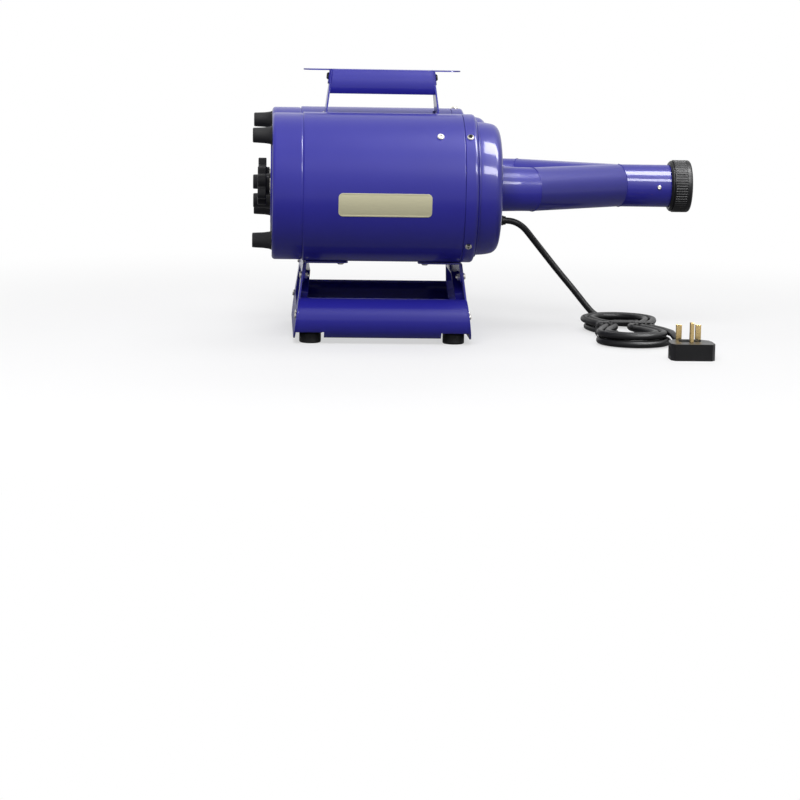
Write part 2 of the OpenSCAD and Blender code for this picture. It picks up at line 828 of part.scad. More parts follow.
hook_bolt_drop = 9;
hook_bolt_y = 7;
bracket_rise = 13;
bracket_bolt_y = axis_gap / 2 + (shell_r + bracket_rise) * cos(handle_screw_angle);
bracket_bolt_z = axis_height + (shell_r + bracket_rise) * sin(handle_screw_angle);
hook_t = 1.5;

// Handle end plate: narrow at the top, wider to its shoulders, cut round both drums below
plate_drop = handle_top - bracket_bolt_z + 6;
shoulder_half = grip_flat / 2 + 19;

module handle_plate(end) {
    valley = plate_drop + 26;
    color(blue) difference() {
        on_handle(end) linear_extrude(handle_plate_t) difference() {
            polygon([
                [-grip_flat / 2, 0], [grip_flat / 2, 0], [shoulder_half, -plate_drop + 6],
                [shoulder_half, -plate_drop], [5, -valley], [-5, -valley],
                [-shoulder_half, -plate_drop], [-shoulder_half, -plate_drop + 6]]);
            for (side = [-1, 1])
                translate([side * hook_bolt_y, -hook_bolt_drop]) circle(r = bolt_r + hole_room);
            for (side = [-1, 1])
                translate([side * bracket_bolt_y, along_handle(bracket_bolt_z)])
                    circle(r = bolt_r + hole_room);
        }
        for (side = [-1, 1])
            on_axis(side, -10) cylinder(r = shell_r + seat, h = block);
    }
}

// Cord hooks: a vertical tab bolted outside each end plate and a flat tongue with a round end
module cord_hooks() {
    tab_half = 12;
    for (end = [-1, 1]) color(blue) {
        on_handle(end, handle_plate_t + 0.05) linear_extrude(hook_t) difference() {
            union() {
                translate([-tab_half, -14]) square([2 * tab_half, 13.6]);
                translate([-tab_half + 4, -18]) square([2 * tab_half - 8, 5]);
                for (y = [-1, 1])
                    translate([y * (tab_half - 4), -14]) circle(r = 4);
            }
            for (side = [-1, 1])
                translate([side * hook_bolt_y, -hook_bolt_drop]) circle(r = bolt_r + hole_room);
        }
        translate([carrier_mid, 0, handle_top - hook_t]) mirror([end < 0 ? 1 : 0, 0, 0])
            translate([handle_half + handle_plate_t + 0.35, 0, 0]) linear_extrude(hook_t) union() {
                translate([0, -tab_half]) square([hook_reach - hook_width / 2, 2 * tab_half]);
                translate([hook_reach - hook_width / 2, 0]) circle(r = hook_width / 2);
            }
    }
}

// L-brackets inside the end plates: a round-ended foot screwed to each drum
// and an upright bolted to the plate
bracket_t = 2;
bracket_half = 7;

module handle_brackets() {
    for (end = [-1, 1])
        for (side = [-1, 1])
            color(blue) difference() {
                union() {
                    on_skin(side, carrier_mid + end * handle_screw_x, handle_screw_angle, shell_r + 0.1)
                        linear_extrude(bracket_t) union() {
                            circle(r = bracket_half);
                            translate([end > 0 ? 0 : -30, -bracket_half]) square([30, 2 * bracket_half]);
                        }
                    intersection() {
                        on_handle(end, -bracket_t - 0.1) translate([-block / 2, -block / 2, 0])
                            cube([block, block, bracket_t]);
                        on_skin(side, carrier_mid - block / 2, handle_screw_angle, shell_r + 0.1)
                            rotate([90, 0, 90]) linear_extrude(block) bracket_outline();
                    }
                }
                on_skin(side, carrier_mid + end * handle_screw_x, handle_screw_angle, shell_r - 3)
                    cylinder(r = screw_r + hole_room, h = 12);
                on_handle(end, -12) translate([side * bracket_bolt_y, along_handle(bracket_bolt_z), 0])
                    cylinder(r = bolt_r + hole_room, h = 24);
                on_handle(end, -0.1) beyond();
            }
}

module bracket_outline() {
    top = bracket_rise + 6.5;
    polygon([
        [-bracket_half, 0], [bracket_half, 0], [bracket_half, top - 4],
        [bracket_half - 4, top], [4 - bracket_half, top], [-bracket_half, top - 4]]);
}

module bolt_through(grip) {
    screw(grip + nut_h + 1.5, r = bolt_r - 0.1);
    translate([0, 0, -grip - nut_h]) nut();
}

module handle_fasteners() {
    stack = handle_plate_t + 0.05 + hook_t;
    color(steel) for (end = [-1, 1]) {
        for (side = [-1, 1]) {
            on_handle(end, stack + 0.05) translate([side * hook_bolt_y, -hook_bolt_drop, 0])
                bolt_through(stack + 0.1);
            on_handle(end, handle_plate_t + 0.05)
                translate([side * bracket_bolt_y, along_handle(bracket_bolt_z), 0])
                    bolt_through(handle_plate_t + bracket_t + 0.2);
            on_skin(side, carrier_mid + end * handle_screw_x, handle_screw_angle, shell_r + bracket_t + 0.15)
                screw(bracket_t + 0.15 + skin_bite);
        }
    }
}

// ---------------------------------------------------------------- base

base_top = axis_height - shell_r - 2.4;
plate_low = foot_h - 6;
plate_rise = (base_top - plate_low) / cos(lean);
bolt_drop = 15;
tab_length = 50;
tab_half = 12;
upright_half = 8;
window_rim = 9;
shelf_width = 30;
rivet_r = 1.6;

// Places of the two screws that hold each panel end, as distance from the middle and height
panel_screws = [[panel_offset + 4, panel_height + 7.5], [panel_offset + 14.5, panel_height + 4.5]];

// Outline of an end plate, its local Y measured up the plate from the top edge
module plate_outline() {
    curve_y = along_base(panel_height);
    shoulder_y = curve_y + panel_radius * 0.9;
    polygon([
        [-panel_offset + 6, 0], [panel_offset - 6, 0],
        [panel_offset + 5, shoulder_y], [panel_offset, curve_y],
        [panel_offset + panel_radius * 0.35, -plate_rise], [-panel_offset - panel_radius * 0.35, -plate_rise],
        [-panel_offset, curve_y], [-panel_offset - 5, shoulder_y]]);
    for (side = [-1, 1])
        translate([side * panel_offset, curve_y]) circle(r = panel_radius);
}

// Eight-sided window, drawn in by d from its edge
module window_outline(d) {
    polygon([
        [-44 + d * 0.4, -13 - d], [44 - d * 0.4, -13 - d], [74 - d, -36 - d * 0.5], [74 - d, -48 + d * 0.4],
        [64 - d * 0.6, -58 + d], [-64 + d * 0.6, -58 + d], [-74 + d, -48 + d * 0.4], [-74 + d, -36 - d * 0.5]]);
}

// End plate of the base: window with a rim folded inward, and a level shelf folded in above the feet
module base_plate(end) {
    color(blue) difference() {
        union() {
            on_base(end) linear_extrude(base_sheet) difference() {
                intersection() {
                    plate_outline();
                    translate([-block / 2, -plate_rise]) square([block, plate_rise]);
                }
                window_outline(base_sheet);
            }
            on_base(end, -window_rim) linear_extrude(window_rim + base_sheet / 2) difference() {
                window_outline(0);
                window_outline(base_sheet);
            }
            translate([foot_x(end) - foot_d / 2 - (end > 0 ? 1 : shelf_width), -shelf_half, foot_h])
                cube([foot_d + 1 + shelf_width, 2 * shelf_half, base_sheet]);
        }
        for (side = [-1, 1]) {
            on_base(end, -5) translate([side * axis_gap / 2, -bolt_drop, 0])
                cylinder(r = bolt_r + hole_room, h = 20);
            for (p = panel_screws)
                on_base(end, -5) translate([side * p[0], along_base(p[1]), 0])
                    cylinder(r = rivet_r + hole_room, h = 20);
            translate([foot_x(end), side * foot_y, foot_h - 2]) cylinder(r = screw_r + hole_room, h = 8);
        }
        on_base(end, base_sheet) beyond();
    }
}

foot_inset = 4.5;
foot_y = panel_offset - 4;
shelf_half = panel_offset + 6;

function foot_x(end) =
    carrier_mid + end * (base_half + tan(lean) * (base_top - foot_h) - foot_d / 2 - foot_inset);

// Curved side panel with end flanges, its lower edge cut up over the feet
module base_panel(side) {
    inner = panel_radius - base_sheet;
    blank = 2 * base_half + 100;
    roll = 1.6;
    lowest = plate_low + 1;
    color(blue) difference() {
        union() {
            difference() {
                translate([carrier_mid - blank / 2, side * panel_offset, panel_height]) rotate([0, 90, 0])
                    cylinder(r = panel_radius, h = blank);
                translate([carrier_mid - blank / 2 - 1, side * panel_offset, panel_height]) rotate([0, 90, 0])
                    cylinder(r = inner, h = blank + 2);
                translate([carrier_mid - block / 2, side > 0 ? panel_offset - block : -panel_offset, -10])
                    cube(block);
            }
            // rolled upper edge
            translate([carrier_mid - blank / 2, side * (panel_offset - 0.6), panel_height + panel_radius - roll])
                rotate([0, 90, 0]) cylinder(r = roll, h = blank);
            // end flanges against the end plates
            for (end = [-1, 1]) on_base(end, -base_sheet - 0.1) linear_extrude(base_sheet) intersection() {
                translate([side * panel_offset, along_base(panel_height)]) circle(r = panel_radius - 0.5);
                translate([side > 0 ? panel_offset - 3 : -panel_offset - 20, along_base(panel_height) - 6])
                    square([23, 32]);
            }
        }
        for (end = [-1, 1]) {
            on_base(end, -0.1) beyond();
            // notch over the foot and clear of the shelf
            translate([foot_x(end) - foot_d / 2 - (end > 0 ? 3 : 40), side > 0 ? 0 : -block, -10])
                cube([foot_d + 43, block, 10 + foot_h + base_sheet + 0.3]);
            for (p = panel_screws)
                on_base(end, -12) translate([side * p[0], along_base(p[1]), 0])
                    cylinder(r = rivet_r + hole_room, h = 30);
        }
        translate([carrier_mid - block / 2, side > 0 ? 0 : -block, lowest - block]) cube(block);
    }
}

// Angle brackets on top of the end plates: a tab under each drum and an upright on the plate
module base_brackets() {
    tab_z = axis_height - shell_r - 0.2 - base_sheet;
    color(blue) for (end = [-1, 1])
        for (side = [-1, 1])
            difference() {
                union() {
                    translate([carrier_mid, side * axis_gap / 2, tab_z]) mirror([end < 0 ? 1 : 0, 0, 0])
                        translate([base_half - tab_length, 0, 0]) linear_extrude(base_sheet) polygon([
                            [0, 6 - tab_half], [6, -tab_half], [tab_length, -tab_half],
                            [tab_length, tab_half], [6, tab_half], [0, tab_half - 6]]);
                    on_base(end, -base_sheet - 0.1) translate([side * axis_gap / 2, -bolt_drop, 0])
                        linear_extrude(base_sheet) union() {
                            circle(r = upright_half);
                            translate([-upright_half, 0]) square([2 * upright_half, bolt_drop + 1.6]);
                        }
                }
                on_base(end, -0.1) beyond();
                translate([carrier_mid + end * base_screw_x, side * axis_gap / 2, tab_z - 8])
                    cylinder(r = screw_r + hole_room, h = 20);
                on_base(end, -12) translate([side * axis_gap / 2, -bolt_drop, 0])
                    cylinder(r = bolt_r + hole_room, h = 24);
            }
}

module base_fasteners() {
    tab_stack = base_sheet + 0.25;
    color(steel) for (end = [-1, 1])
        for (side = [-1, 1]) {
            on_base(end, base_sheet + 0.05) translate([side * axis_gap / 2, -bolt_drop, 0])
                bolt_through(2 * base_sheet + 0.2);
            translate([carrier_mid + end * base_screw_x, side * axis_gap / 2, axis_height - shell_r - tab_stack])
                mirror([0, 0, 1]) screw(tab_stack + skin_bite);
            for (p = panel_screws)
                on_base(end, base_sheet + 0.05) translate([side * p[0], along_base(p[1]), 0])
                    screw(2 * base_sheet + 2, r = rivet_r, head = 3);
        }
}

// Rubber feet with a recessed screw up into the shelves
module base_feet() {
    for (end = [-1, 1])
        for (side = [-1, 1])
            translate([foot_x(end), side * foot_y, 0]) {
                color(black) difference() {
                    rotate_extrude() polygon(concat(
                        [[0, 0]], arc(foot_d / 2 - 2, 2, 2, -90, 0, 4),
                        arc(foot_d / 2 - 2, foot_h - 2, 2, 0, 90, 4), [[0, foot_h]]));
                    translate([0, 0, -1]) cylinder(r = 5, h = 6);
                    translate([0, 0, -1]) cylinder(r = screw_r + 0.1, h = 30);
                }
                color(steel) translate([0, 0, 4.95]) mirror([0, 0, 1]) screw(foot_h - 0.5);
            }
}

// Screws on the drums and on the outlet tube
module housing_screws() {
    color([0.86, 0.84, 0.78]) {
        for (side = [-1, 1]) {
            for (angle = collar_screw_angles(side))
                on_skin(side, collar_screw_x, angle, shell_r + 0.1) screw(6);
            on_skin(side, side_screw_x, side_screw_angle, shell_r + 0.1) screw(6);
        }
        translate([outlet_screw_x, -tube_r - 0.1, axis_height]) rotate([90, 0, 0]) screw(4, r = 1.6, head = 2.6);
    }
}

// ---------------------------------------------------------------- mains cord

gland_x = face_x;
boot_length = 20;

// Gland: threaded body through the dome, hexagon, and a stepped tapering boot
module cord_gland() {
    color(black) at_gland() difference() {
        union() {
            translate([0, 0, -10]) cylinder(r = gland_r, h = 11);
            translate([0, 0, 0.2]) cylinder(r = 11.5, h = 7.8, $fn = 6);
            translate([0, 0, 8]) cylinder(r1 = 8, r2 = cord_d / 2 + 1.2, h = boot_length);
            for (i = [0 : 3])
                translate([0, 0, 10.5 + i * 4.2]) cylinder(r = 8 - i * 0.62, h = 1.8);
            translate([0, 0, -10]) cylinder(r = 10, h = 10 - sheet - 0.2);
        }
        translate([0, 0, -12]) cylinder(r = cord_d / 2 - 0.5, h = 9);
    }
}

// Route of the cord from the gland to the hank, measured from the intake end face
feed_route = [
    [291, 89, 130], [298.5, 89, 129.2], [305.5, 89, 126.8], [312, 89, 122.7], [317.3, 89, 117.6],
    [324, 89, 109.5], [333, 89, 98.5], [343, 89, 86.3], [353, 89, 74.1], [364, 89, 61.1],
    [376, 88.6, 47.2], [387, 88, 34], [396, 87.5, 23.2], [403.5, 87.2, 15.5], [413, 86.8, 9.8],
    [423, 86.4, 6.2], [434, 86, 5], [448.2, 83.2, 5], [460.2, 75.2, 5], [468.2, 63.2, 5], [471, 49, 5],
    [471, 42.5, 5], [471, 36, 5]];

// Route from the hank to the plug
tail_route = [
    [473, -90, 14], [473, -98, 14], [473, -108, 13.3], [473.5, -119, 11.6], [474.5, -130, 10],
    [475.5, -141, 9.2], [476, -151, 9.4], [476, -160, 9.6]];

hank_strand = 1;
hank_x = 427;
hank_y = -27;
hank_run = 126;
hank_inner = 24.8;
hank_pitch = 9.6;
hank_layer = 9;
hank_loops = 4;
hank_waist = 6;
waist_spread = 1.12;
loop_rings = 24;
run_share = 5 / 24;
end_share = 7 / 24;

// Half width of the loop that the strand is on, u loops from its start
function hank_half(u) = hank_inner + hank_pitch * abs(hank_loops / 2 - u);

// Height of the strand: it climbs one layer along the half turn round the reversal
function hank_level(u) =
    let (k = min(1, max(0, (u - hank_loops / 2 + 0.25) / 0.5)))
    hank_strand + cord_d / 2 + hank_layer * (k * k * (3 - 2 * k));

// Half width of a loop under the tie, and at the distance y along the run
function waist_half(half) = hank_waist + (half - hank_inner) * waist_spread;
function hank_width(half, y) =
    half - (half - waist_half(half)) * (1 + cos(360 * y / hank_run)) / 2;

function hank_point(u) =
    let (
        f = u - floor(u),
        half = hank_half(u),
        a = f / run_share,
        b = (f - run_share) / end_share,
        c = (f - run_share - end_share) / run_share,
        e = (f - 2 * run_share - end_share) / end_share)
    f < run_share ?
        [hank_x + hank_width(half, hank_run * (0.5 - a)), hank_y + hank_run * (0.5 - a), hank_level(u)] :
    f < run_share + end_share ?
        [hank_x + half * cos(180 * b), hank_y - hank_run / 2 - half * sin(180 * b), hank_level(u)] :
    f < 2 * run_share + end_share ?
        [hank_x - hank_width(half, hank_run * (c - 0.5)), hank_y + hank_run * (c - 0.5), hank_level(u)] :
        [hank_x - half * cos(180 * e), hank_y + hank_run / 2 + half * sin(180 * e), hank_level(u)];

hank_steps = hank_loops * loop_rings + loop_rings * run_share;
hank_route = [for (i = [0 : hank_steps]) hank_point(i / loop_rings)];

// Frame of a swept ring: two unit vectors square to the direction d
function unit(v) = v / norm(v);
function side_of(d) = unit(cross(d, abs(d[2]) > 0.9 ? [0, 1, 0] : [0, 0, 1]));

// Direction of a route at its point i, given at its two ends
function direction(route, i, first, last) =
    i == 0 ? first :
    i == len(route) - 1 ? last :
    unit(unit(route[i + 1] - route[i]) + unit(route[i] - route[i - 1]));

function ring_points(p, d, r, sides) =
    let (s = side_of(d), t = cross(s, d))
    [for (k = [0 : sides - 1]) p + r * (s * cos(360 * k / sides) + t * sin(360 * k / sides))];

// Closed tube of the given radius along a route, its end rings square to first and last
module swept(route, r, sides, first, last) {
    n = len(route);
    points = [for (i = [0 : n - 1])
        each ring_points(route[i], direction(route, i, first, last), r, sides)];
    walls = [for (i = [0 : n - 2]) for (k = [0 : sides - 1])
        let (a = i * sides + k, b = i * sides + (k + 1) % sides)
        each [[a, b, b + sides], [a, b + sides, a + sides]]];
    polyhedron(
        points = points,
        faces = concat(
            [for (k = [1 : sides - 2]) [0, k + 1, k]],
            walls,
            [for (k = [1 : sides - 2]) [(n - 1) * sides, (n - 1) * sides + k, (n - 1) * sides + k + 1]]));
}

module cord_feed() {
    color(black) swept(feed_route, cord_d / 2, 8, [1, 0, 0], [0, -1, 0]);
}

module cord_hank() {
    color(black) swept(hank_route, cord_d / 2, 6, [0, -1, 0], [0, -1, 0]);
}

module cord_tail() {
    color(black) swept(tail_route, cord_d / 2, 8, [0, -1, 0], [0, -1, 0]);
}

// Least gap of the hank to itself, strands a quarter loop or more apart
hank_gap = min([for (i = [0 : hank_steps]) for (j = [0 : hank_steps])
    if (j > i + loop_rings / 4) norm(hank_route[i] - hank_route[j])]) - cord_d;
echo(hank_gap = hank_gap);

// Strap round the hank's waist
module cord_tie() {
    half = waist_half(hank_half(hank_loops + run_share)) + cord_d / 2 + 0.6;
    top = hank_strand + cord_d + hank_layer + 0.4;
    strap = 0.8;
    color(black) translate([hank_x, hank_y - 6, 0]) difference() {
        translate([-half - strap, 0, 0]) cube([2 * (half + strap), 12, top + strap]);
        translate([-half, -1, strap]) cube([2 * half, 14, top - strap]);
    }
}

plug_x = 476;
plug_y = -160;

// Moulded plug lying on its back: ribbed relief, wedge-shaped body with a finger rim
module plug_body() {
    color(black) translate([plug_x, plug_y, 0]) {
        difference() {
            union() {
                translate([0, 0, 9.6]) rotate([90, 0, 0]) cylinder(r1 = cord_d / 2 + 0.8, r2 = 7.2, h = 22);
                for (i = [0 : 3])
                    translate([0, -5 - i * 4.6, 9.6]) rotate([90, 0, 0]) cylinder(r = 6.4 + i * 0.5, h = 2.2);
            }
            translate([-20, -40, -10]) cube([40, 60, 10]);
        }
        translate([0, -21, 0]) linear_extrude(19) polygon([
            [-12, 0], [12, 0], [23, -10], [25, -20], [25, -40], [21, -46],
            [-21, -46], [-25, -40], [-25, -20], [-23, -10]]);
    }
}

// Three flat pins standing up out of the plug's face
module plug_pins() {
    color([0.8, 0.72, 0.45]) translate([plug_x, plug_y - 44, 19]) {
        translate([-2, -8, 0.05]) cube([4, 8, 22.7]);
        for (x = [-11.1, 11.1])
            translate([x - 3.2, 16, 0.05]) cube([6.4, 4, 17.7]);
    }
}

// ---------------------------------------------------------------- assembly

from_rear() shell(-1);  // near_shell
from_rear() shell(1);  // far_shell
from_rear() rear_cap(-1);  // near_rear_cap
from_rear() rear_cap(1);  // far_rear_cap
from_rear() front_collar(-1);  // near_front_collar
from_rear() front_collar(1);  // far_front_collar
from_rear() front_dome(-1);  // near_front_dome
from_rear() front_dome(1);  // far_front_dome
from_rear() dome_seals();
from_rear() intake_cover(-1);  // near_intake_cover
from_rear() intake_cover(1);  // far_intake_cover
from_rear() filter_foam(-1);  // near_filter_foam
from_rear() filter_foam(1);  // far_filter_foam
from_rear() knob_stud(-1);  // near_knob_stud
from_rear() knob_stud(1);  // far_knob_stud
from_rear() star_knob(-1);  // near_star_knob
from_rear() star_knob(1);  // far_star_knob
from_rear() end_feet();
from_rear() motor_mount(-1);  // near_motor_mount
from_rear() motor_mount(1);  // far_motor_mount
from_rear() fan_housing(-1);  // near_fan_housing
from_rear() fan_housing(1);  // far_fan_housing
from_rear() motor_field(-1);  // near_motor_field
from_rear() motor_field(1);  // far_motor_field
from_rear() rotor(-1);  // near_rotor
from_rear() rotor(1);  // far_rotor
from_rear() motor_bearings();
from_rear() foam_liner(-1);  // near_foam_liner
from_rear() foam_liner(1);  // far_foam_liner
from_rear() outlet_manifold();
from_rear() outlet_ring();
from_rear() handle_grip();
from_rear() handle_plate(-1);  // handle_rear_plate
from_rear() handle_plate(1);  // handle_front_plate
from_rear() cord_hooks();
from_rear() handle_brackets();
from_rear() handle_fasteners();
from_rear() base_plate(-1);  // base_rear_plate
from_rear() base_plate(1);  // base_front_plate
from_rear() base_panel(-1);  // base_near_panel
from_rear() base_panel(1);  // base_far_panel
from_rear() base_brackets();
from_rear() base_fasteners();
from_rear() base_feet();
from_rear() housing_screws();
from_rear() speed_knob();
from_rear() speed_control();
from_rear() rocker();
from_rear() switch_frame();
from_rear() control_board();
from_rear() cord_gland();
from_rear() cord_feed();
from_rear() cord_hank();
from_rear() cord_tail();
from_rear() cord_tie();
from_rear() plug_body();
from_rear() plug_pins();
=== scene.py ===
import json
import math

import bpy
from mathutils import Matrix, Vector


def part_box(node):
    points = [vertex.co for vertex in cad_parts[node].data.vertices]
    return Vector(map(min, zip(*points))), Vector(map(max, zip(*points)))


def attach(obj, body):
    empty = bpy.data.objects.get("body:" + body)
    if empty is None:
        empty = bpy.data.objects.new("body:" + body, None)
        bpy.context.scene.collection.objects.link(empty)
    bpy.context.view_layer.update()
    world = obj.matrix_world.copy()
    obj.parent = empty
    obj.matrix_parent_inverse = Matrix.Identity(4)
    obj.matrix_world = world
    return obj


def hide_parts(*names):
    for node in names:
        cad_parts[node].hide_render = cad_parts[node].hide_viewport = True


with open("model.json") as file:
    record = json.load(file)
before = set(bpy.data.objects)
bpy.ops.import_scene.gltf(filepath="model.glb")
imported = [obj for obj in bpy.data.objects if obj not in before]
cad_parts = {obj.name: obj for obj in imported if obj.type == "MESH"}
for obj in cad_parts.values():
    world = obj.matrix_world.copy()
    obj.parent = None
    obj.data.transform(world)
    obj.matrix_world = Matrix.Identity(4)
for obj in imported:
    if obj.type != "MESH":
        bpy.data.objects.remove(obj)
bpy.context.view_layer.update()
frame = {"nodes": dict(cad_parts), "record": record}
nodes = frame["nodes"]

MM = 0.001

# The intake end face, from which stations along X are measured
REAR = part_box("near_rear_cap")[0].x

# The two drums, and the way along Y that is outwards for each
OUTWARD = {"near": -1, "far": 1}

# Vertices closer than this are merged, in metres, and flatter edges than this are taken out, in degrees
WELD = 0.00002
FLAT_ANGLE = 0.5

bodies = frame["record"]["behaviour"]["bodies"]
body_of = {node: body for body, members in bodies.items() for node in members}
slot_of = {row["node"]: row["material_slot"] for row in frame["record"]["subparts"]}


def at(x, y, z):
    """A point in millimetres, with X measured from the intake end face."""
    return Vector((REAR + x * MM, y * MM, z * MM))


# ---------------------------------------------------------------- handling pieces

def clear():
    """Leaves edit mode with nothing selected."""
    if bpy.context.object and bpy.context.object.mode != "OBJECT":
        bpy.ops.object.mode_set(mode="OBJECT")
    bpy.ops.object.select_all(action="DESELECT")


def take(piece):
    """Makes a piece the only one selected, and the active one."""
    clear()
    piece.select_set(True)
    bpy.context.view_layer.objects.active = piece


def whole(piece):
    """Opens a piece in edit mode with all of it selected."""
    take(piece)
    bpy.ops.object.mode_set(mode="EDIT")
    bpy.ops.mesh.select_all(action="SELECT")


def settle(piece):
    """Moves a piece's place, turn and size into its mesh."""
    take(piece)
    bpy.ops.object.transform_apply(location=True, rotation=True, scale=True)


def pick_edges(piece, test):
    """Opens a piece in edit mode with only the edges selected whose two ends pass a test."""
    whole(piece)
    bpy.ops.mesh.select_all(action="DESELECT")
    bpy.ops.object.mode_set(mode="OBJECT")
    for edge in piece.data.edges:
        edge.select = test(*(piece.data.vertices[i].co for i in edge.vertices))
    bpy.ops.object.mode_set(mode="EDIT")
    bpy.ops.mesh.select_mode(type="EDGE")


def pick_faces(piece, test):
    """Selects only the faces that pass a test, in a piece that is open in edit mode."""
    bpy.ops.mesh.select_mode(type="FACE")
    bpy.ops.mesh.select_all(action="DESELECT")
    bpy.ops.object.mode_set(mode="OBJECT")
    for face in piece.data.polygons:
        face.select = test(face)
    bpy.ops.object.mode_set(mode="EDIT")


def smooth_over(piece, angle=35):
    """Shades a piece smooth, except over edges sharper than the angle."""
    take(piece)
    bpy.ops.object.shade_smooth_by_angle(angle=math.radians(angle))


def soften(piece, width, segments=2, angle=35):
    """Rounds the edges that are sharper than the angle, by a width in millimetres."""
    take(piece)
    edges = piece.modifiers.new("edges", "BEVEL")
    edges.width = width * MM
    edges.segments = segments
    edges.limit_method = "ANGLE"
    edges.angle_limit = math.radians(angle)
    bpy.ops.object.modifier_apply(modifier=edges.name)
    smooth_over(piece, angle)


def join_up(name, pieces):
    """Joins pieces into the first of them, under a name."""
    take(pieces[0])
    for piece in pieces:
        piece.select_set(True)
    bpy.ops.object.join()
    pieces[0].name = name
    return pieces[0]


def block(middle, size, turn=(0, 0, 0)):
    """A plain block, its middle in metres and its size in millimetres, turned about its middle."""
    clear()
    bpy.ops.mesh.primitive_cube_add(size=1, location=middle, rotation=turn)
    piece = bpy.context.object
    piece.scale = Vector(size) * MM
    settle(piece)
    return piece


def flatten(piece):
    """Keeps the flat faces beside soft edges looking flat."""
    take(piece)
    lie = piece.modifiers.new("flat", "WEIGHTED_NORMAL")
    lie.keep_sharp = True
    bpy.ops.object.modifier_apply(modifier=lie.name)


# ---------------------------------------------------------------- camera and cord

VIEW_TURN = math.radians(3.263)
VIEW_DIP = math.radians(9.078)
VIEW_ROLL = math.radians(0.989)
FOCAL_PIXELS = 2371.8
FRAME_PIXELS = 800
SENSOR = 36
CAMERA_PLACE = (-4.4, -2850.8, 373.0)
CAMERA_REACH = 100


def make_camera():
    """A long lens, turned and tipped a little, level with the top of the drums."""
    forward = Vector((
        math.sin(VIEW_TURN) * math.cos(VIEW_DIP),
        math.cos(VIEW_TURN) * math.cos(VIEW_DIP),
        -math.sin(VIEW_DIP)))
    level = Vector((math.cos(VIEW_TURN), -math.sin(VIEW_TURN), 0))
    upright = level.cross(forward)
    right = level * math.cos(VIEW_ROLL) + upright * math.sin(VIEW_ROLL)
    up = upright * math.cos(VIEW_ROLL) - level * math.sin(VIEW_ROLL)
    lens = bpy.data.cameras.new("camera")
    lens.sensor_width = SENSOR
    lens.lens = FOCAL_PIXELS / FRAME_PIXELS * SENSOR
    lens.clip_end = CAMERA_REACH
    camera = bpy.data.objects.new("camera", lens)
    bpy.context.scene.collection.objects.link(camera)
    turn = Matrix((right, up, -forward)).transposed()
    camera.matrix_world = Matrix.Translation(at(*CAMERA_PLACE)) @ turn.to_4x4()
    bpy.context.scene.camera = camera


make_camera()

CORD_D = 0.008
CORD_SIDES = 20

# Route of the cord from the gland to the hank, in metres from the intake end face
FEED = [
    (0.291, 0.089, 0.13), (0.2985, 0.089, 0.1292), (0.3055, 0.089, 0.1268), (0.312, 0.089, 0.1227),
    (0.3173, 0.089, 0.1176), (0.324, 0.089, 0.1095), (0.333, 0.089, 0.0985), (0.343, 0.089, 0.0863),
    (0.353, 0.089, 0.0741), (0.364, 0.089, 0.0611), (0.376, 0.0886, 0.0472), (0.387, 0.088, 0.034),
    (0.396, 0.0875, 0.0232), (0.4035, 0.0872, 0.0155), (0.413, 0.0868, 0.0098), (0.423, 0.0864, 0.0062),
    (0.434, 0.086, 0.005), (0.4482, 0.0832, 0.005), (0.4602, 0.0752, 0.005), (0.4682, 0.0632, 0.005),
    (0.471, 0.049, 0.005), (0.471, 0.0425, 0.005), (0.471, 0.036, 0.005)]

# Route from the hank to the plug
TAIL = [
    (0.473, -0.090, 0.014), (0.473, -0.098, 0.014), (0.473, -0.108, 0.0133), (0.4735, -0.119, 0.0116),
    (0.4745, -0.130, 0.010), (0.4755, -0.141, 0.0092), (0.476, -0.151, 0.0094), (0.476, -0.160, 0.0096)]

# The tied hank, in metres: its height off the floor, its middle, and the length and spacing of its loops
HANK_LIFT = 0.001
HANK_X = 0.427
HANK_Y = -0.027
HANK_RUN = 0.126
HANK_INNER = 0.0248
HANK_PITCH = 0.0096
HANK_LAYER = 0.009
HANK_LOOPS = 4
HANK_WAIST = 0.006
WAIST_SPREAD = 1.12
CLIMB_LOOPS = 0.5

# Points to a loop, and the share of them on each straight run and round each end
LOOP_RINGS = 24
RUN_SHARE = 5 / 24
END_SHARE = 7 / 24
ROUNDING = 1e-9


def hank_half(u):
    """Half width of the loop that the strand is on, u loops from its start."""
    return HANK_INNER + HANK_PITCH * abs(HANK_LOOPS / 2 - u)


def hank_level(u):
    """Height of the strand, which climbs one layer round the reversal."""
    k = min(1, max(0, (u - HANK_LOOPS / 2 + CLIMB_LOOPS / 2) / CLIMB_LOOPS))
    return HANK_LIFT + CORD_D / 2 + HANK_LAYER * (k * k * (3 - 2 * k))


def hank_width(half, y):
    """Half width of a loop at the distance y along its run, drawn in under the tie."""
    waist = HANK_WAIST + (half - HANK_INNER) * WAIST_SPREAD
    return half - (half - waist) * (1 + math.cos(math.tau * y / HANK_RUN)) / 2


def hank_point(u):
    """Place of the strand u loops from its start: down one run, round an end, and back."""
    f = u - math.floor(u + ROUNDING)
    half = hank_half(u)
    z = hank_level(u)
    if f < RUN_SHARE:
        y = HANK_RUN * (0.5 - f / RUN_SHARE)
        return HANK_X + hank_width(half, y), HANK_Y + y, z
    if f < RUN_SHARE + END_SHARE:
        b = math.pi * (f - RUN_SHARE) / END_SHARE
        return HANK_X + half * math.cos(b), HANK_Y - HANK_RUN / 2 - half * math.sin(b), z
    if f < 2 * RUN_SHARE + END_SHARE:
        y = HANK_RUN * ((f - RUN_SHARE - END_SHARE) / RUN_SHARE - 0.5)
        return HANK_X - hank_width(half, y), HANK_Y + y, z
    b = math.pi * (f - 2 * RUN_SHARE - END_SHARE) / END_SHARE
    return HANK_X - half * math.cos(b), HANK_Y + HANK_RUN / 2 + half * math.sin(b), z


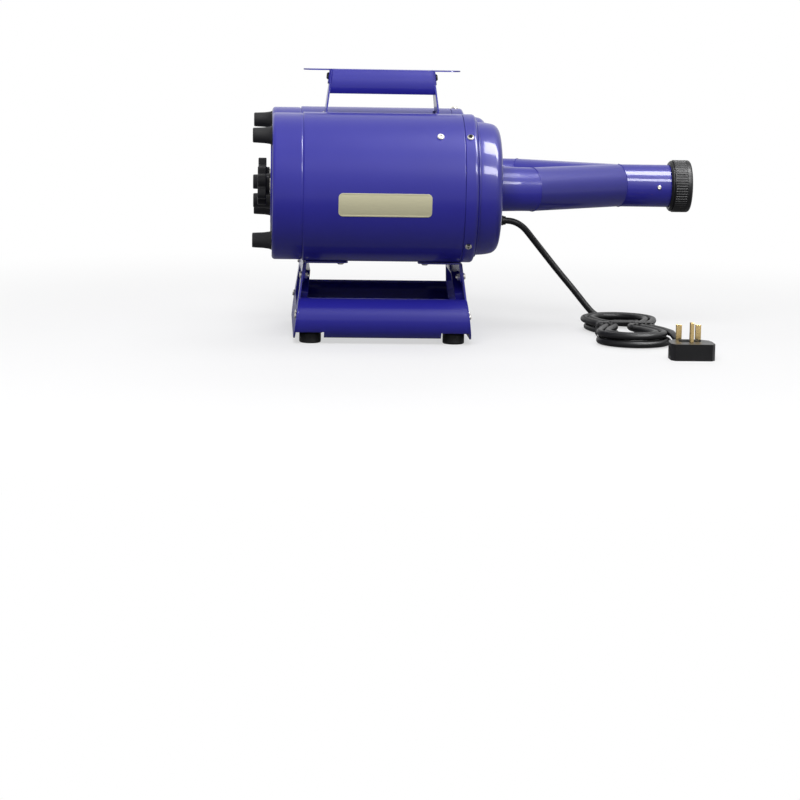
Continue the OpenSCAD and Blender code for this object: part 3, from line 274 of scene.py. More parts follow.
def smooth(points, steps=4):
    """Points along a smooth curve through the given ones."""
    points = [Vector(p) for p in points]
    ends = [2 * points[0] - points[1]] + points + [2 * points[-1] - points[-2]]
    made = []
    for a, b, c, d in zip(ends, ends[1:], ends[2:], ends[3:]):
        for i in range(steps):
            t = i / steps
            made.append(0.5 * (2 * b + (c - a) * t + (2 * a - 5 * b + 4 * c - d) * t ** 2
                               + (3 * b - a - 3 * c + d) * t ** 3))
    return made + [points[-1]]


def length_of(points):
    """Length of the line through the points."""
    return sum((b - a).length for a, b in zip(points, points[1:]))


def cord_route():
    """Points along the whole cord, from the gland through the hank to the plug."""
    steps = round(HANK_LOOPS * LOOP_RINGS + LOOP_RINGS * RUN_SHARE)
    hank = [hank_point(i / LOOP_RINGS) for i in range(steps + 1)]
    return [Vector((REAR, 0, 0)) + p for p in smooth(FEED + hank[1:] + TAIL[1:])]


def tube_along(name, points, diameter, sides):
    """A round closed tube along a line of points, as a mesh."""
    clear()
    data = bpy.data.curves.new(name, "CURVE")
    data.dimensions = "3D"
    data.bevel_depth = diameter / 2
    data.bevel_resolution = sides // 2 - 2
    data.use_fill_caps = True
    spline = data.splines.new("POLY")
    spline.points.add(len(points) - 1)
    for point, place in zip(spline.points, points):
        point.co = (*place, 1)
    tube = bpy.data.objects.new(name, data)
    bpy.context.scene.collection.objects.link(tube)
    take(tube)
    bpy.ops.object.convert(target="MESH")
    tube = bpy.context.object
    bpy.ops.object.shade_smooth_by_angle(angle=math.radians(50))
    return tube


route = cord_route()
mains_cord = tube_along("mains_cord", route, CORD_D, CORD_SIDES)
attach(mains_cord, "housing")
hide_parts("cord_feed", "cord_hank", "cord_tail")


# ---------------------------------------------------------------- shader maths

class Value:
    """A number on a socket of a material, with arithmetic that adds the Math nodes."""

    def __init__(self, finish, socket):
        self.finish = finish
        self.socket = socket

    def math(self, operation, other):
        made = self.finish.node("Math", {0: self, 1: other}, operation=operation)
        return Value(self.finish, made.outputs[0])

    def __add__(self, other):
        return self.math("ADD", other)

    def __mul__(self, other):
        return self.math("MULTIPLY", other)

    __radd__ = __add__

    def ramp(self, low, high):
        """0 below low and 1 above high, with a smooth step between."""
        made = self.finish.node(
            "MapRange", {"Value": self, "From Min": low, "From Max": high},
            interpolation_type="SMOOTHSTEP")
        return Value(self.finish, made.outputs[0])


class Finish:
    """A material under construction: its nodes, its shader and the piece's own coordinates."""

    def __init__(self, name, colour, roughness, metallic=0.0, coat=0.0, coat_roughness=0.06, gloss=0.5):
        self.material = bpy.data.materials.new(name)
        self.material.use_nodes = True
        self.tree = self.material.node_tree
        self.shader = self.tree.nodes["Principled BSDF"]
        self.place = self.tree.nodes.new("ShaderNodeTexCoord").outputs["Object"]
        self.feed(self.shader.inputs["Base Color"], (*colour, 1))
        self.feed(self.shader.inputs["Roughness"], roughness)
        self.feed(self.shader.inputs["Metallic"], metallic)
        self.feed(self.shader.inputs["Coat Weight"], coat)
        self.feed(self.shader.inputs["Coat Roughness"], coat_roughness)
        self.feed(self.shader.inputs["Specular IOR Level"], gloss)

    def feed(self, socket, value):
        """Links a socket to a value's own socket, or sets it to a plain value."""
        if isinstance(value, Value):
            value = value.socket
        if isinstance(value, bpy.types.NodeSocket):
            self.tree.links.new(value, socket)
        else:
            socket.default_value = value

    def node(self, kind, sockets, **settings):
        """A node of the given kind, its settings first and then its sockets."""
        made = self.tree.nodes.new("ShaderNode" + kind)
        for name, value in settings.items():
            setattr(made, name, value)
        for name, value in sockets.items():
            self.feed(made.inputs[name], value)
        return made

    def noise(self, size, detail=2.0, roughness=0.5, stretch=(1, 1, 1)):
        """Noise from 0 to 1 whose lumps are about size metres across."""
        moved = self.node("Mapping", {"Vector": self.place, "Scale": stretch})
        made = self.node("TexNoise", {
            "Vector": moved.outputs[0], "Scale": 1 / size, "Detail": detail, "Roughness": roughness})
        return Value(self, made.outputs["Fac"])

    def cells(self, size, feature="F1"):
        """Distance pattern of cells about size metres across."""
        made = self.node("TexVoronoi", {"Vector": self.place, "Scale": 1 / size}, feature=feature)
        return Value(self, made.outputs["Distance"])

    def mix(self, factor, first, second):
        """A colour between two colours."""
        made = self.node("Mix", {"Factor": factor}, data_type="RGBA")
        for index, colour in ((6, first), (7, second)):
            self.feed(made.inputs[index], (*colour, 1))
        return made.outputs[2]

    def paint(self, colour):
        self.feed(self.shader.inputs["Base Color"], colour)

    def rough(self, value):
        self.feed(self.shader.inputs["Roughness"], value)

    def bump(self, height, distance, strength=1.0):
        made = self.node("Bump", {"Height": height, "Distance": distance, "Strength": strength})
        self.feed(self.shader.inputs["Normal"], made.outputs[0])


def shade(colour, factor):
    """A colour made darker or lighter."""
    return tuple(min(1.0, c * factor) for c in colour)


# ---------------------------------------------------------------- finishes

ENAMEL = (0.02, 0.018, 0.3)


def blue_enamel():
    """Glossy coated paint with faint clouds and specks, a fine orange peel and a slow waviness."""
    f = Finish("blue_enamel", ENAMEL, 0.42, coat=0.45, coat_roughness=0.09, gloss=0.2)
    cloud = f.noise(0.05, detail=3)
    speck = f.noise(0.0012, detail=1)
    f.paint(f.mix(cloud * 0.6 + speck * 0.2, shade(ENAMEL, 0.92), shade(ENAMEL, 1.08)))
    f.rough(0.38 + cloud * 0.1)
    peel = f.noise(0.0022, detail=2)
    waviness = f.noise(0.014, detail=1)
    f.bump(peel + waviness, distance=0.00006, strength=0.4)
    return f.material


def cream_plate():
    """Pale metallic sheet, brushed along its length."""
    colour = (0.6, 0.57, 0.38)
    f = Finish("cream_plate", colour, 0.4, metallic=0.35)
    brushed = f.noise(0.0007, detail=3, stretch=(0.08, 1, 1))
    f.paint(f.mix(brushed, shade(colour, 0.9), shade(colour, 1.08)))
    f.rough(0.34 + brushed * 0.16)
    return f.material


def white_print():
    f = Finish("white_print", (0.8, 0.8, 0.8), 0.55)
    f.rough(0.5 + f.noise(0.0008, detail=2) * 0.1)
    return f.material


def webbing():
    """Black woven strap."""
    colour = (0.013, 0.013, 0.014)
    f = Finish("webbing", colour, 0.8)
    weave = f.cells(0.0009)
    f.paint(f.mix(weave, shade(colour, 0.6), shade(colour, 1.8)))
    f.bump(weave, distance=0.0004, strength=0.8)
    return f.material


def black_moulding(name, colour, roughness, grain):
    """Rubber or plastic with a moulded grain, whose lumps are about grain metres across."""
    f = Finish(name, colour, roughness, gloss=0.22)
    cloud = f.noise(0.02, detail=3)
    f.paint(f.mix(cloud, shade(colour, 0.8), shade(colour, 1.35)))
    f.rough(roughness - 0.06 + cloud * 0.12)
    f.bump(f.noise(grain, detail=3), distance=grain * 0.25, strength=0.6)
    return f.material


def bare_metal(name, colour, roughness, stretch=(1, 1, 1)):
    """Uncoated metal with fine streaks, drawn out along the axes where stretch is small."""
    f = Finish(name, colour, roughness, metallic=1.0)
    streak = f.noise(0.0006, detail=4, stretch=stretch)
    f.paint(f.mix(streak, shade(colour, 0.8), shade(colour, 1.1)))
    f.rough(roughness - 0.08 + streak * 0.2)
    f.bump(streak, distance=0.00004, strength=0.5)
    return f.material


def foam(name, colour, cell):
    """Open foam whose holes are about cell metres across, the holes painted dark as shade."""
    f = Finish(name, colour, 0.95)
    holes = f.cells(cell)
    # The holes are painted much darker than the strands between them, as painted shade
    f.paint(f.mix(holes.ramp(0.1, 0.6), shade(colour, 0.35), shade(colour, 1.3)))
    f.bump(holes, distance=cell * 0.8)
    return f.material


def windings():
    """Lacquered copper wire, side by side, with painted shade in the gaps between the wires."""
    colour = (0.45, 0.2, 0.07)
    f = Finish("windings", colour, 0.35, metallic=0.8)
    wires = f.node("TexWave", {"Vector": f.place, "Scale": 260.0, "Distortion": 1.5, "Detail": 1.0})
    wires = Value(f, wires.outputs["Fac"])
    # Dark bands of painted shade fall in the gaps between the wires, and lighter bands on the wires
    f.paint(f.mix(wires, shade(colour, 0.4), shade(colour, 1.3)))
    f.bump(wires, distance=0.0004, strength=0.8)
    return f.material


def circuit_board():
    """Green board with paler tracks."""
    colour = (0.02, 0.16, 0.06)
    f = Finish("circuit_board", colour, 0.35, coat=0.4)
    tracks = f.cells(0.006, feature="DISTANCE_TO_EDGE").ramp(0.04, 0.07)
    f.paint(f.mix(tracks, shade(colour, 2.0), colour))
    return f.material


BLACK_RUBBER = (0.013, 0.013, 0.014)
BLACK_PLASTIC = (0.009, 0.009, 0.01)

finishes = {
    "blue_paint": blue_enamel(),
    "black_rubber": black_moulding("black_rubber", BLACK_RUBBER, roughness=0.5, grain=0.0009),
    "black_plastic": black_moulding("black_plastic", BLACK_PLASTIC, roughness=0.4, grain=0.0006),
    "filter_foam": foam("filter_foam", (0.05, 0.05, 0.055), cell=0.0022),
    "liner_foam": foam("liner_foam", (0.09, 0.09, 0.1), cell=0.004),
    "zinc_steel": bare_metal("zinc_steel", (0.62, 0.6, 0.55), roughness=0.32),
    "pale_screws": bare_metal("pale_screws", (0.8, 0.77, 0.66), roughness=0.3),
    "fan_steel": bare_metal("fan_steel", (0.6, 0.6, 0.6), roughness=0.4),
    "bearing_steel": bare_metal("bearing_steel", (0.66, 0.66, 0.67), roughness=0.2),
    "rotor_metal": bare_metal("rotor_metal", (0.7, 0.7, 0.72), roughness=0.35, stretch=(0.2, 1, 1)),
    "winding_copper": windings(),
    "green_board": circuit_board(),
    "cord_jacket": black_moulding("cord_jacket", BLACK_PLASTIC, roughness=0.4, grain=0.0008),
    "plug_plastic": black_moulding("plug_plastic", BLACK_PLASTIC, roughness=0.34, grain=0.001),
    "brass_pins": bare_metal("brass_pins", (0.72, 0.53, 0.24), roughness=0.25),
    "cream_plate": cream_plate(),
    "white_print": white_print(),
    "webbing": webbing(),
}


def dress(piece, slot):
    """Gives a piece the finish of a material slot."""
    piece.data.materials.clear()
    piece.data.materials.append(finishes[slot])


def place(piece, slot, body="housing", replaced=(), finish=None):
    """Gives a new piece its finish, its body and the nodes that it stands for."""
    flatten(piece)
    dress(piece, finish or slot)
    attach(piece, body)
    if replaced:
        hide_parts(*replaced)
    return piece


# ---------------------------------------------------------------- carried-over shapes

def finer(node, width, segments=2, angle=35):
    """A node's own shape with whole faces and softened edges, in its place."""
    piece = bpy.data.objects.new(node + "_made", nodes[node].data.copy())
    bpy.context.scene.collection.objects.link(piece)
    whole(piece)
    bpy.ops.mesh.remove_doubles(threshold=WELD)
    bpy.ops.mesh.dissolve_limited(angle_limit=math.radians(FLAT_ANGLE))
    soften(piece, width, segments, angle)
    return place(piece, slot_of[node], body_of[node], [node])


def second_finish(piece, slot, test, corners=False):
    """Gives another slot's finish to the faces whose middle, or whose every corner, passes a test."""
    piece.data.materials.append(finishes[slot])
    for face in piece.data.polygons:
        points = [piece.data.vertices[i].co for i in face.vertices] if corners else [face.center]
        if all(test(point.x - REAR, point.y, point.z) for point in points):
            face.material_index = 1


for subpart in frame["record"]["subparts"]:
    dress(nodes[subpart["node"]], subpart["material_slot"])
dress(mains_cord, "cord_jacket")

# ---------------------------------------------------------------- drum housings

SHELL_R = 86
BORE_R = 84.5
SPIGOT_R = 84.2
CAP_R = 84.8
DOME_R = 77.2
SHEET = 1.5
SHELL_X = 35
COLLAR_X = 219
COLLAR_LENGTH = 15
FACE_X = 263
SEAM = 0.2
INTAKE_R = 54
CAP_EDGE = 4
COLLAR_EDGE = 4
DOME_EDGE = 12
DOME_BORE_R = 26.5
BEAD_R = 1.2


def drum_middle(side):
    """Y and Z of a drum's axis, in millimetres."""
    low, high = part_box(f"{side}_shell")
    return (low.y + high.y) / 2 / MM, (low.z + high.z) / 2 / MM


def arc(radius, station, r, start, end, steps=10):
    """Profile points of an arc round a centre, its angle 0 pointing outwards and 90 to the outlet."""
    turns = [math.radians(start + (end - start) * i / steps) for i in range(steps + 1)]
    return [(radius + r * math.cos(a), station + r * math.sin(a)) for a in turns]


def revolve(name, profile, y, z, steps=128):
    """A closed profile of radius and station, spun round an axis along X through y and z."""
    clear()
    bpy.ops.mesh.primitive_circle_add(vertices=len(profile))
    piece = bpy.context.object
    piece.name = name
    for vertex, (radius, station) in zip(piece.data.vertices, profile):
        vertex.co = at(station, y, z + radius)
    whole(piece)
    bpy.ops.mesh.spin(steps=steps, angle=math.tau, center=at(0, y, z), axis=(1, 0, 0))
    bpy.ops.mesh.select_all(action="SELECT")
    bpy.ops.mesh.remove_doubles(threshold=WELD)
    bpy.ops.mesh.normals_make_consistent(inside=False)
    smooth_over(piece, 40)
    return piece


def spun(node, profile, side):
    """A sheet body of the drum housings."""
    piece = revolve(f"{side}_{node}_made", profile, *drum_middle(side))
    return place(piece, "blue_paint", replaced=[f"{side}_{node}"])


def shell_profile():
    """A plain tube with a rounded rear edge and a broken front one."""
    edge = 1.6
    start = SHELL_X + SEAM
    end = COLLAR_X - SEAM
    return ([(BORE_R, start), (SHELL_R - edge, start)]
            + arc(SHELL_R - edge, start + edge, edge, -90, 0)
            + [(SHELL_R, start + edge + 0.6), (SHELL_R, end - 1.2)]
            + arc(SHELL_R - 0.5, end - 0.5, 0.5, 0, 90, 4) + [(BORE_R, end)])


def cap_profile():
    """A spun cap with a round edge, an intake opening and a spigot that enters the shell."""
    inner = CAP_R - SHEET
    spigot_end = 44
    return ([(INTAKE_R, SHEET), (INTAKE_R, 0.4), (INTAKE_R + 0.4, 0)]
            + arc(CAP_R - CAP_EDGE, CAP_EDGE, CAP_EDGE, -90, 0)
            + [(CAP_R, CAP_EDGE + 0.6), (CAP_R, 32.4), (CAP_R, 33.2), (CAP_R - 0.1, 33.6),
               (SPIGOT_R, 34.2), (SPIGOT_R, spigot_end), (SPIGOT_R - SHEET, spigot_end),
               (SPIGOT_R - SHEET, 32), (inner, 31)]
            + arc(CAP_R - CAP_EDGE, CAP_EDGE, CAP_EDGE - SHEET, 0, -90))


def collar_profile():
    """A spun collar with a spigot into the shell and a lip over the dome's flange."""
    lip = DOME_R + 1.2
    start = COLLAR_X + 0.3
    end = COLLAR_X + COLLAR_LENGTH
    spigot_end = COLLAR_X - 8
    return ([(SPIGOT_R - SHEET, spigot_end), (SPIGOT_R, spigot_end), (SPIGOT_R, start)]
            + arc(SHELL_R - 0.6, start + 0.6, 0.6, -90, 0, 4)
            + [(SHELL_R, start + 1.2), (SHELL_R, end - COLLAR_EDGE - 0.6)]
            + arc(SHELL_R - COLLAR_EDGE, end - COLLAR_EDGE, COLLAR_EDGE, 0, 90)
            + [(lip + 0.5, end)] + arc(lip + 0.5, end - 0.5, 0.5, 90, 180, 4)[1:] + [(lip, end - SHEET)]
            + arc(SHELL_R - COLLAR_EDGE, end - COLLAR_EDGE, COLLAR_EDGE - SHEET, 90, 0)
            + [(BORE_R, COLLAR_X + 3), (SPIGOT_R - SHEET, COLLAR_X + 2)])


def dome_profile():
    """A spun dome: a flange, a wall that leans in, a round shoulder and a face bored for the tube."""
    flange = COLLAR_X + 13.2
    flange_r = SHELL_R - 4.5
    wall_x = COLLAR_X + COLLAR_LENGTH + 2
    crown = DOME_R - 1.6 - DOME_EDGE
    shoulder = arc(crown, FACE_X - DOME_EDGE, DOME_EDGE, 14, 90, 16)
    drop = DOME_R - shoulder[0][0]
    reach = shoulder[0][1] - wall_x
    steps = 8
    wall = [(DOME_R - drop * (i / steps) ** 2, wall_x + reach * i / steps) for i in range(steps)]
    return ([(DOME_R - SHEET, flange - SHEET), (flange_r, flange - SHEET), (flange_r, flange),
             (DOME_R + 0.4, flange), (DOME_R, flange + 0.4)] + wall + shoulder
            + [(DOME_BORE_R, FACE_X), (DOME_BORE_R, FACE_X - SHEET)]
            + arc(crown, FACE_X - DOME_EDGE, DOME_EDGE - SHEET, 90, 0, 16) + [(DOME_R - SHEET, wall_x)])


def seal_beads():
    """Round beads in the corner between each collar and dome, painted with them."""
    station = COLLAR_X + COLLAR_LENGTH + 1.3
    ring = arc(DOME_R + 1.6, station, BEAD_R, 0, 337.5, 15)
    beads = [revolve(f"{side}_seal_bead", ring, *drum_middle(side)) for side in OUTWARD]
    return place(join_up("dome_seals_made", beads), "blue_paint", replaced=["dome_seals"])


seal_beads()

for side in OUTWARD:
    spun("shell", shell_profile(), side)
    spun("rear_cap", cap_profile(), side)
    spun("front_collar", collar_profile(), side)
    spun("front_dome", dome_profile(), side)

# ---------------------------------------------------------------- the other bodies

# Widths of softened edges: of sheet, of fine parts, of mouldings, and of rubber and the switch's frame
SHEET_EDGE = 0.35
FINE_EDGE = 0.3
MOULDED_EDGE = 0.4
SOFT_EDGE = 0.5

HOOK_GAIN = 3.2
HOOK_TONGUE = 26
HOOK_BOLT_LOW = 295
FOOT_SCREW_R = 4
BASE_FOOT_R = 12.75
END_FOOT_RING = 69.3
# How high and how wide the painted shade in each drum screw's recess reaches, in millimetres
SCREW_TOP = 2.1
SCREW_SLOT = 2.05

# Skin angles of the feet on the intake end and of the screws through each collar, in degrees
END_FOOT_TURNS = {"near": (60, 180, 300), "far": (81.5, 201.5, 321.5)}
COLLAR_SCREW_TURNS = {"near": (46, 136, 226, 314), "far": (85, 175, 265, 355)}
COLLAR_SCREW_X = COLLAR_X + 6
SHELL_SCREW_TURN = 46
SHELL_SCREW_X = COLLAR_X - 28

for side in OUTWARD:
    finer(f"{side}_intake_cover", SHEET_EDGE)
for part in ("handle_rear_plate", "handle_front_plate", "cord_hooks", "handle_brackets", "base_rear_plate",
             "base_front_plate", "base_near_panel", "base_far_panel", "base_brackets"):
    finer(part, SHEET_EDGE)


def lengthen_hooks():
    """Draws the tongues of the cord hooks out, evenly from their roots to their tips."""
    low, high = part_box("cord_hooks")
    for vertex in bpy.data.objects["cord_hooks_made"].data.vertices:
        for tip, out in ((low.x, -1), (high.x, 1)):
            share = 1 - abs(vertex.co.x - tip) / (HOOK_TONGUE * MM)
            vertex.co.x += out * HOOK_GAIN * MM * max(0, share)


lengthen_hooks()
finer("handle_grip", SHEET_EDGE)
finer("outlet_manifold", FINE_EDGE)


def near_axis(places, reach):
    """Tests whether a point lies within reach of one of the axes, given by two coordinates."""
    return lambda a, b: min(math.hypot(a - p, b - q) for p, q in places) < reach * MM


def end_foot_axes():
    """Axes of the feet on the intake end, as Y and Z."""
    made = []
    for side, out in OUTWARD.items():
        y, z = drum_middle(side)
        for turn in map(math.radians, END_FOOT_TURNS[side]):
            made.append(((y + out * END_FOOT_RING * math.cos(turn)) * MM,
                         (z + END_FOOT_RING * math.sin(turn)) * MM))
    return made


def base_foot_axes():
    """Axes of the feet under the stand, as X from the intake end face and Y."""
    low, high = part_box("base_feet")
    inset = BASE_FOOT_R * MM
    return [(x, y) for x in (low.x + inset - REAR, high.x - inset - REAR)
            for y in (low.y + inset, high.y - inset)]


on_end_screw = near_axis(end_foot_axes(), FOOT_SCREW_R)
second_finish(finer("end_feet", SOFT_EDGE), "zinc_steel",
              lambda x, y, z: on_end_screw(y, z), corners=True)
on_base_screw = near_axis(base_foot_axes(), FOOT_SCREW_R + 0.4)
second_finish(finer("base_feet", SOFT_EDGE), "zinc_steel",
              lambda x, y, z: on_base_screw(x, y), corners=True)
second_finish(finer("handle_fasteners", FINE_EDGE), "black_plastic",
              lambda x, y, z: z > HOOK_BOLT_LOW * MM)
finer("base_fasteners", FINE_EDGE)


def drum_screw_lines():
    """Start and direction of each screw on the drums, from the drum's skin outwards."""
    made = []
    for side, out in OUTWARD.items():
        y, z = drum_middle(side)
        screws = [(COLLAR_SCREW_X, turn) for turn in COLLAR_SCREW_TURNS[side]]
        for x, turn in screws + [(SHELL_SCREW_X, SHELL_SCREW_TURN)]:
            away = Vector((0, out * math.cos(math.radians(turn)), math.sin(math.radians(turn))))
            made.append((Vector((x, y, z)) + away * (SHELL_R + 0.1), away))
    return made


screw_lines = drum_screw_lines()


def in_shaded_screw_recess(x, y, z):
    """Tests whether a point lies in the recess of a drum screw's head, where the head gets painted shade.
    """
    point = Vector((x, y, z)) / MM
    for start, away in screw_lines:
        height = (point - start).dot(away)
        if (point - start - height * away).length < SCREW_SLOT and height < SCREW_TOP:
            return True
    return False


# The recess in each drum screw's head takes the black rubber finish as painted shade, so that it reads dark
second_finish(finer("housing_screws", FINE_EDGE), "black_rubber", in_shaded_screw_recess)
finer("speed_knob", FINE_EDGE)
finer("rocker", MOULDED_EDGE)
finer("switch_frame", SOFT_EDGE)
finer("cord_gland", MOULDED_EDGE)


def rounded_block(middle, size, edge, corner=0):
    """A block with soft edges, and wider rounds on its upright corners if asked, in millimetres."""
    piece = block(middle, size)
    if corner:
        pick_edges(piece, lambda a, b: abs(a.z - b.z) > size[2] * MM / 2)
        bpy.ops.mesh.bevel(offset=corner * MM, segments=6)
    soften(piece, edge, segments=3, angle=50)
    return piece


PLUG_EDGE = 1.6
FUSE_CARRIER = (25, 8, 1.4)
FUSE_CARRIER_Y = 31
FINGER_RIB = (1.3, 1.5, 11)
FINGER_RIBS = 5
FINGER_RIB_X = 24.7
FINGER_RIB_Y = 8.5
FINGER_RIB_STEP = 3.3


def plug_body():
    """The moulded plug with its fuse carrier between the pins and finger ribs on its flanks."""
    body = finer("plug_body", PLUG_EDGE, segments=4)
    low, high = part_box("plug_body")
    x, z = (low.x + high.x) / 2, (low.z + high.z) / 2
    carrier_middle = (x, low.y + FUSE_CARRIER_Y * MM, high.z + 0.2 * MM)
    parts = [body, rounded_block(carrier_middle, FUSE_CARRIER, MOULDED_EDGE, corner=2)]
    for end in (-1, 1):
        for i in range(FINGER_RIBS):
            y = low.y + (FINGER_RIB_Y + i * FINGER_RIB_STEP) * MM
            parts.append(rounded_block((x + end * FINGER_RIB_X * MM, y, z), FINGER_RIB, MOULDED_EDGE))
    join_up(body.name, parts)
    dress(body, "plug_plastic")
    flatten(body)


plug_body()
finer("plug_pins", MOULDED_EDGE)

# ---------------------------------------------------------------- outlet ring

RING_R = 31.35
RING_LENGTH = 29.5
RING_EDGE = 4
RING_SEAT_R = 25.7
RING_BORE_R = 23
RING_LIP_X = 12.5
RIBS = 60
RIB_STEPS = 5
RIB_DEPTH = 0.55
RIB_X = 9.4
RIB_LENGTH = 13.6

# The rim and groove behind the ribs, as depths under the ring's radius and stations from its start
RING_RIM = ((3.2, 4), (2.8, 4.2), (1.2, 5.8), (1, 6.3), (1, 6.8), (1.2, 7.1),
            (2.2, 7.2), (2.2, 7.9), (0.5, 8), (0, 8.4), (0, 8.9))


def outlet_ring():
    """Moulded ring: a chamfered rim, a groove, a band of fine grip ribs and a rounded lip."""
    low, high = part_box("outlet_ring")
    start = (low.x - REAR) / MM
    middle_y, middle_z = (low.y + high.y) / 2 / MM, (low.z + high.z) / 2 / MM
    end = start + RING_LENGTH
    band = [start + RIB_X + RIB_LENGTH * i / 6 for i in range(7)]
    profile = ([(RING_SEAT_R, start + RING_RIM[0][1])]
               + [(RING_R - depth, start + station) for depth, station in RING_RIM]
               + [(RING_R, station) for station in band] + [(RING_R, band[-1] + 0.5)]
               + arc(RING_R - RING_EDGE, end - RING_EDGE, RING_EDGE, 0, 90, 10)[1:]
               + [(RING_BORE_R + 1, end)] + arc(RING_BORE_R + 1, end - 1, 1, 90, 180, 4)[1:]
               + [(RING_BORE_R, start + RING_LIP_X), (RING_SEAT_R, start + RING_LIP_X)])
    piece = revolve("outlet_ring_made", profile, middle_y, middle_z, steps=RIBS * RIB_STEPS)
    for vertex in piece.data.vertices:
        station = (vertex.co.x - REAR) / MM
        y, z = vertex.co.y - middle_y * MM, vertex.co.z - middle_z * MM
        radius = math.hypot(y, z)
        step = round(math.atan2(z, y) / math.tau * RIBS * RIB_STEPS) % RIB_STEPS
        if band[0] - 0.1 < station < band[-1] + 0.1 and radius > (RING_R - 0.1) * MM and step < 2:
            share = 1 - RIB_DEPTH * MM / radius
            vertex.co.y = middle_y * MM + y * share
            vertex.co.z = middle_z * MM + z * share
    smooth_over(piece, 28)
    return place(piece, "black_plastic", replaced=["outlet_ring"])


outlet_ring()

# ---------------------------------------------------------------- star knobs

KNOB_R = 22.25
KNOB_VALLEY_R = 16.6
KNOB_LOBES = 6
KNOB_ROUNDNESS = 0.65
KNOB_POINTS = 120
KNOB_FACE_X = -16.7
KNOB_T = 10
KNOB_RIM = 2.4
KNOB_DISH = 0.9
HUB_R = 11
HUB_H = 3.8
HUB_SINK = 0.3
CAP_DISC_R = 7.5
CAP_DISC_T = 3


def round_block(radius, start, length, edge, y, z):
    """A round block along X with soft edges, in millimetres."""
    clear()
    bpy.ops.mesh.primitive_cylinder_add(
        vertices=64, radius=radius * MM, depth=length * MM, rotation=(0, math.pi / 2, 0),
        location=at(start + length / 2, y, z))
    piece = bpy.context.object
    settle(piece)
    soften(piece, edge, segments=3)
    return piece


def star_knob(side):
    """Moulded hand knob: a lobed head with a dished face and a round cap, on a hub."""
    y, z = drum_middle(side)
    clear()
    bpy.ops.mesh.primitive_circle_add(vertices=KNOB_POINTS, fill_type="NGON")
    head = bpy.context.object
    for i, vertex in enumerate(head.data.vertices):
        turn = math.tau * i / KNOB_POINTS
        lobe = (0.5 + 0.5 * math.cos(KNOB_LOBES * turn)) ** KNOB_ROUNDNESS
        radius = KNOB_VALLEY_R + (KNOB_R - KNOB_VALLEY_R) * lobe
        vertex.co = at(KNOB_FACE_X, y + radius * math.sin(turn), z - radius * math.cos(turn))
    whole(head)
    bpy.ops.mesh.extrude_region_move(TRANSFORM_OT_translate={"value": (KNOB_T * MM, 0, 0)})
    bpy.ops.mesh.select_all(action="SELECT")
    bpy.ops.mesh.normals_make_consistent(inside=False)
    face_low = REAR + (KNOB_FACE_X + 1) * MM
    pick_faces(head, lambda face: len(face.vertices) > 4 and face.center.x < face_low)
    bpy.ops.mesh.inset(thickness=KNOB_RIM * MM)
    bpy.ops.mesh.inset(thickness=0.8 * MM, depth=-KNOB_DISH * MM)
    soften(head, 1.1, segments=4, angle=50)
    hub = round_block(HUB_R, KNOB_FACE_X + KNOB_T - HUB_SINK, HUB_H + HUB_SINK, 0.6, y, z)
    cap = round_block(CAP_DISC_R, KNOB_FACE_X + 0.1, CAP_DISC_T, 0.9, y, z)
    knob = join_up(f"{side}_star_knob_made", [head, hub, cap])
    return place(knob, "black_plastic", f"{side}_knob", [f"{side}_star_knob"])


for side in OUTWARD:
    star_knob(side)

# ---------------------------------------------------------------- filter foam

FOAM_R = 53
FOAM_BORE_R = 4
FOAM_START = 0.6
FOAM_END = 19.6
FOAM_EDGE = 0.8
FOAM_CELL = 2.8
FOAM_RUFFLE = 0.5


def filter_foam(side):
    """Cut foam disc with an open, uneven face behind the air holes."""
    rings = 56
    face_r = FOAM_R - FOAM_EDGE
    front = [(FOAM_BORE_R + (face_r - FOAM_BORE_R) * i / rings, FOAM_START) for i in range(rings + 1)]
    rim = [(FOAM_R, FOAM_START + FOAM_EDGE), (FOAM_R, (FOAM_START + FOAM_END) / 2),
           (FOAM_R, FOAM_END - FOAM_EDGE)]
    back = [(face_r, FOAM_END), (FOAM_BORE_R + 20, FOAM_END), (FOAM_BORE_R, FOAM_END)]
    piece = revolve(f"{side}_filter_foam_made", front + rim + back, *drum_middle(side), steps=240)
    take(piece)
    cells = bpy.data.textures.new(f"{side}_foam_cells", "VORONOI")
    cells.noise_scale = FOAM_CELL * MM
    ruffle = piece.modifiers.new("ruffle", "DISPLACE")
    ruffle.texture = cells
    ruffle.texture_coords = "LOCAL"
    ruffle.strength = FOAM_RUFFLE * MM
    ruffle.mid_level = 1.0
    bpy.ops.object.modifier_apply(modifier=ruffle.name)
    return place(piece, "filter_foam", replaced=[f"{side}_filter_foam"])


for side in OUTWARD:
    filter_foam(side)

# ---------------------------------------------------------------- blank plate

PLATE_LENGTH = 106
PLATE_HEIGHT = 27
PLATE_T = 0.6
PLATE_X = 128
PLATE_DROP = 14.5
PLATE_CORNER = 5
PLATE_RIM = 1.3
PLATE_CUTS = 14
SKIN_ROOM = 0.03


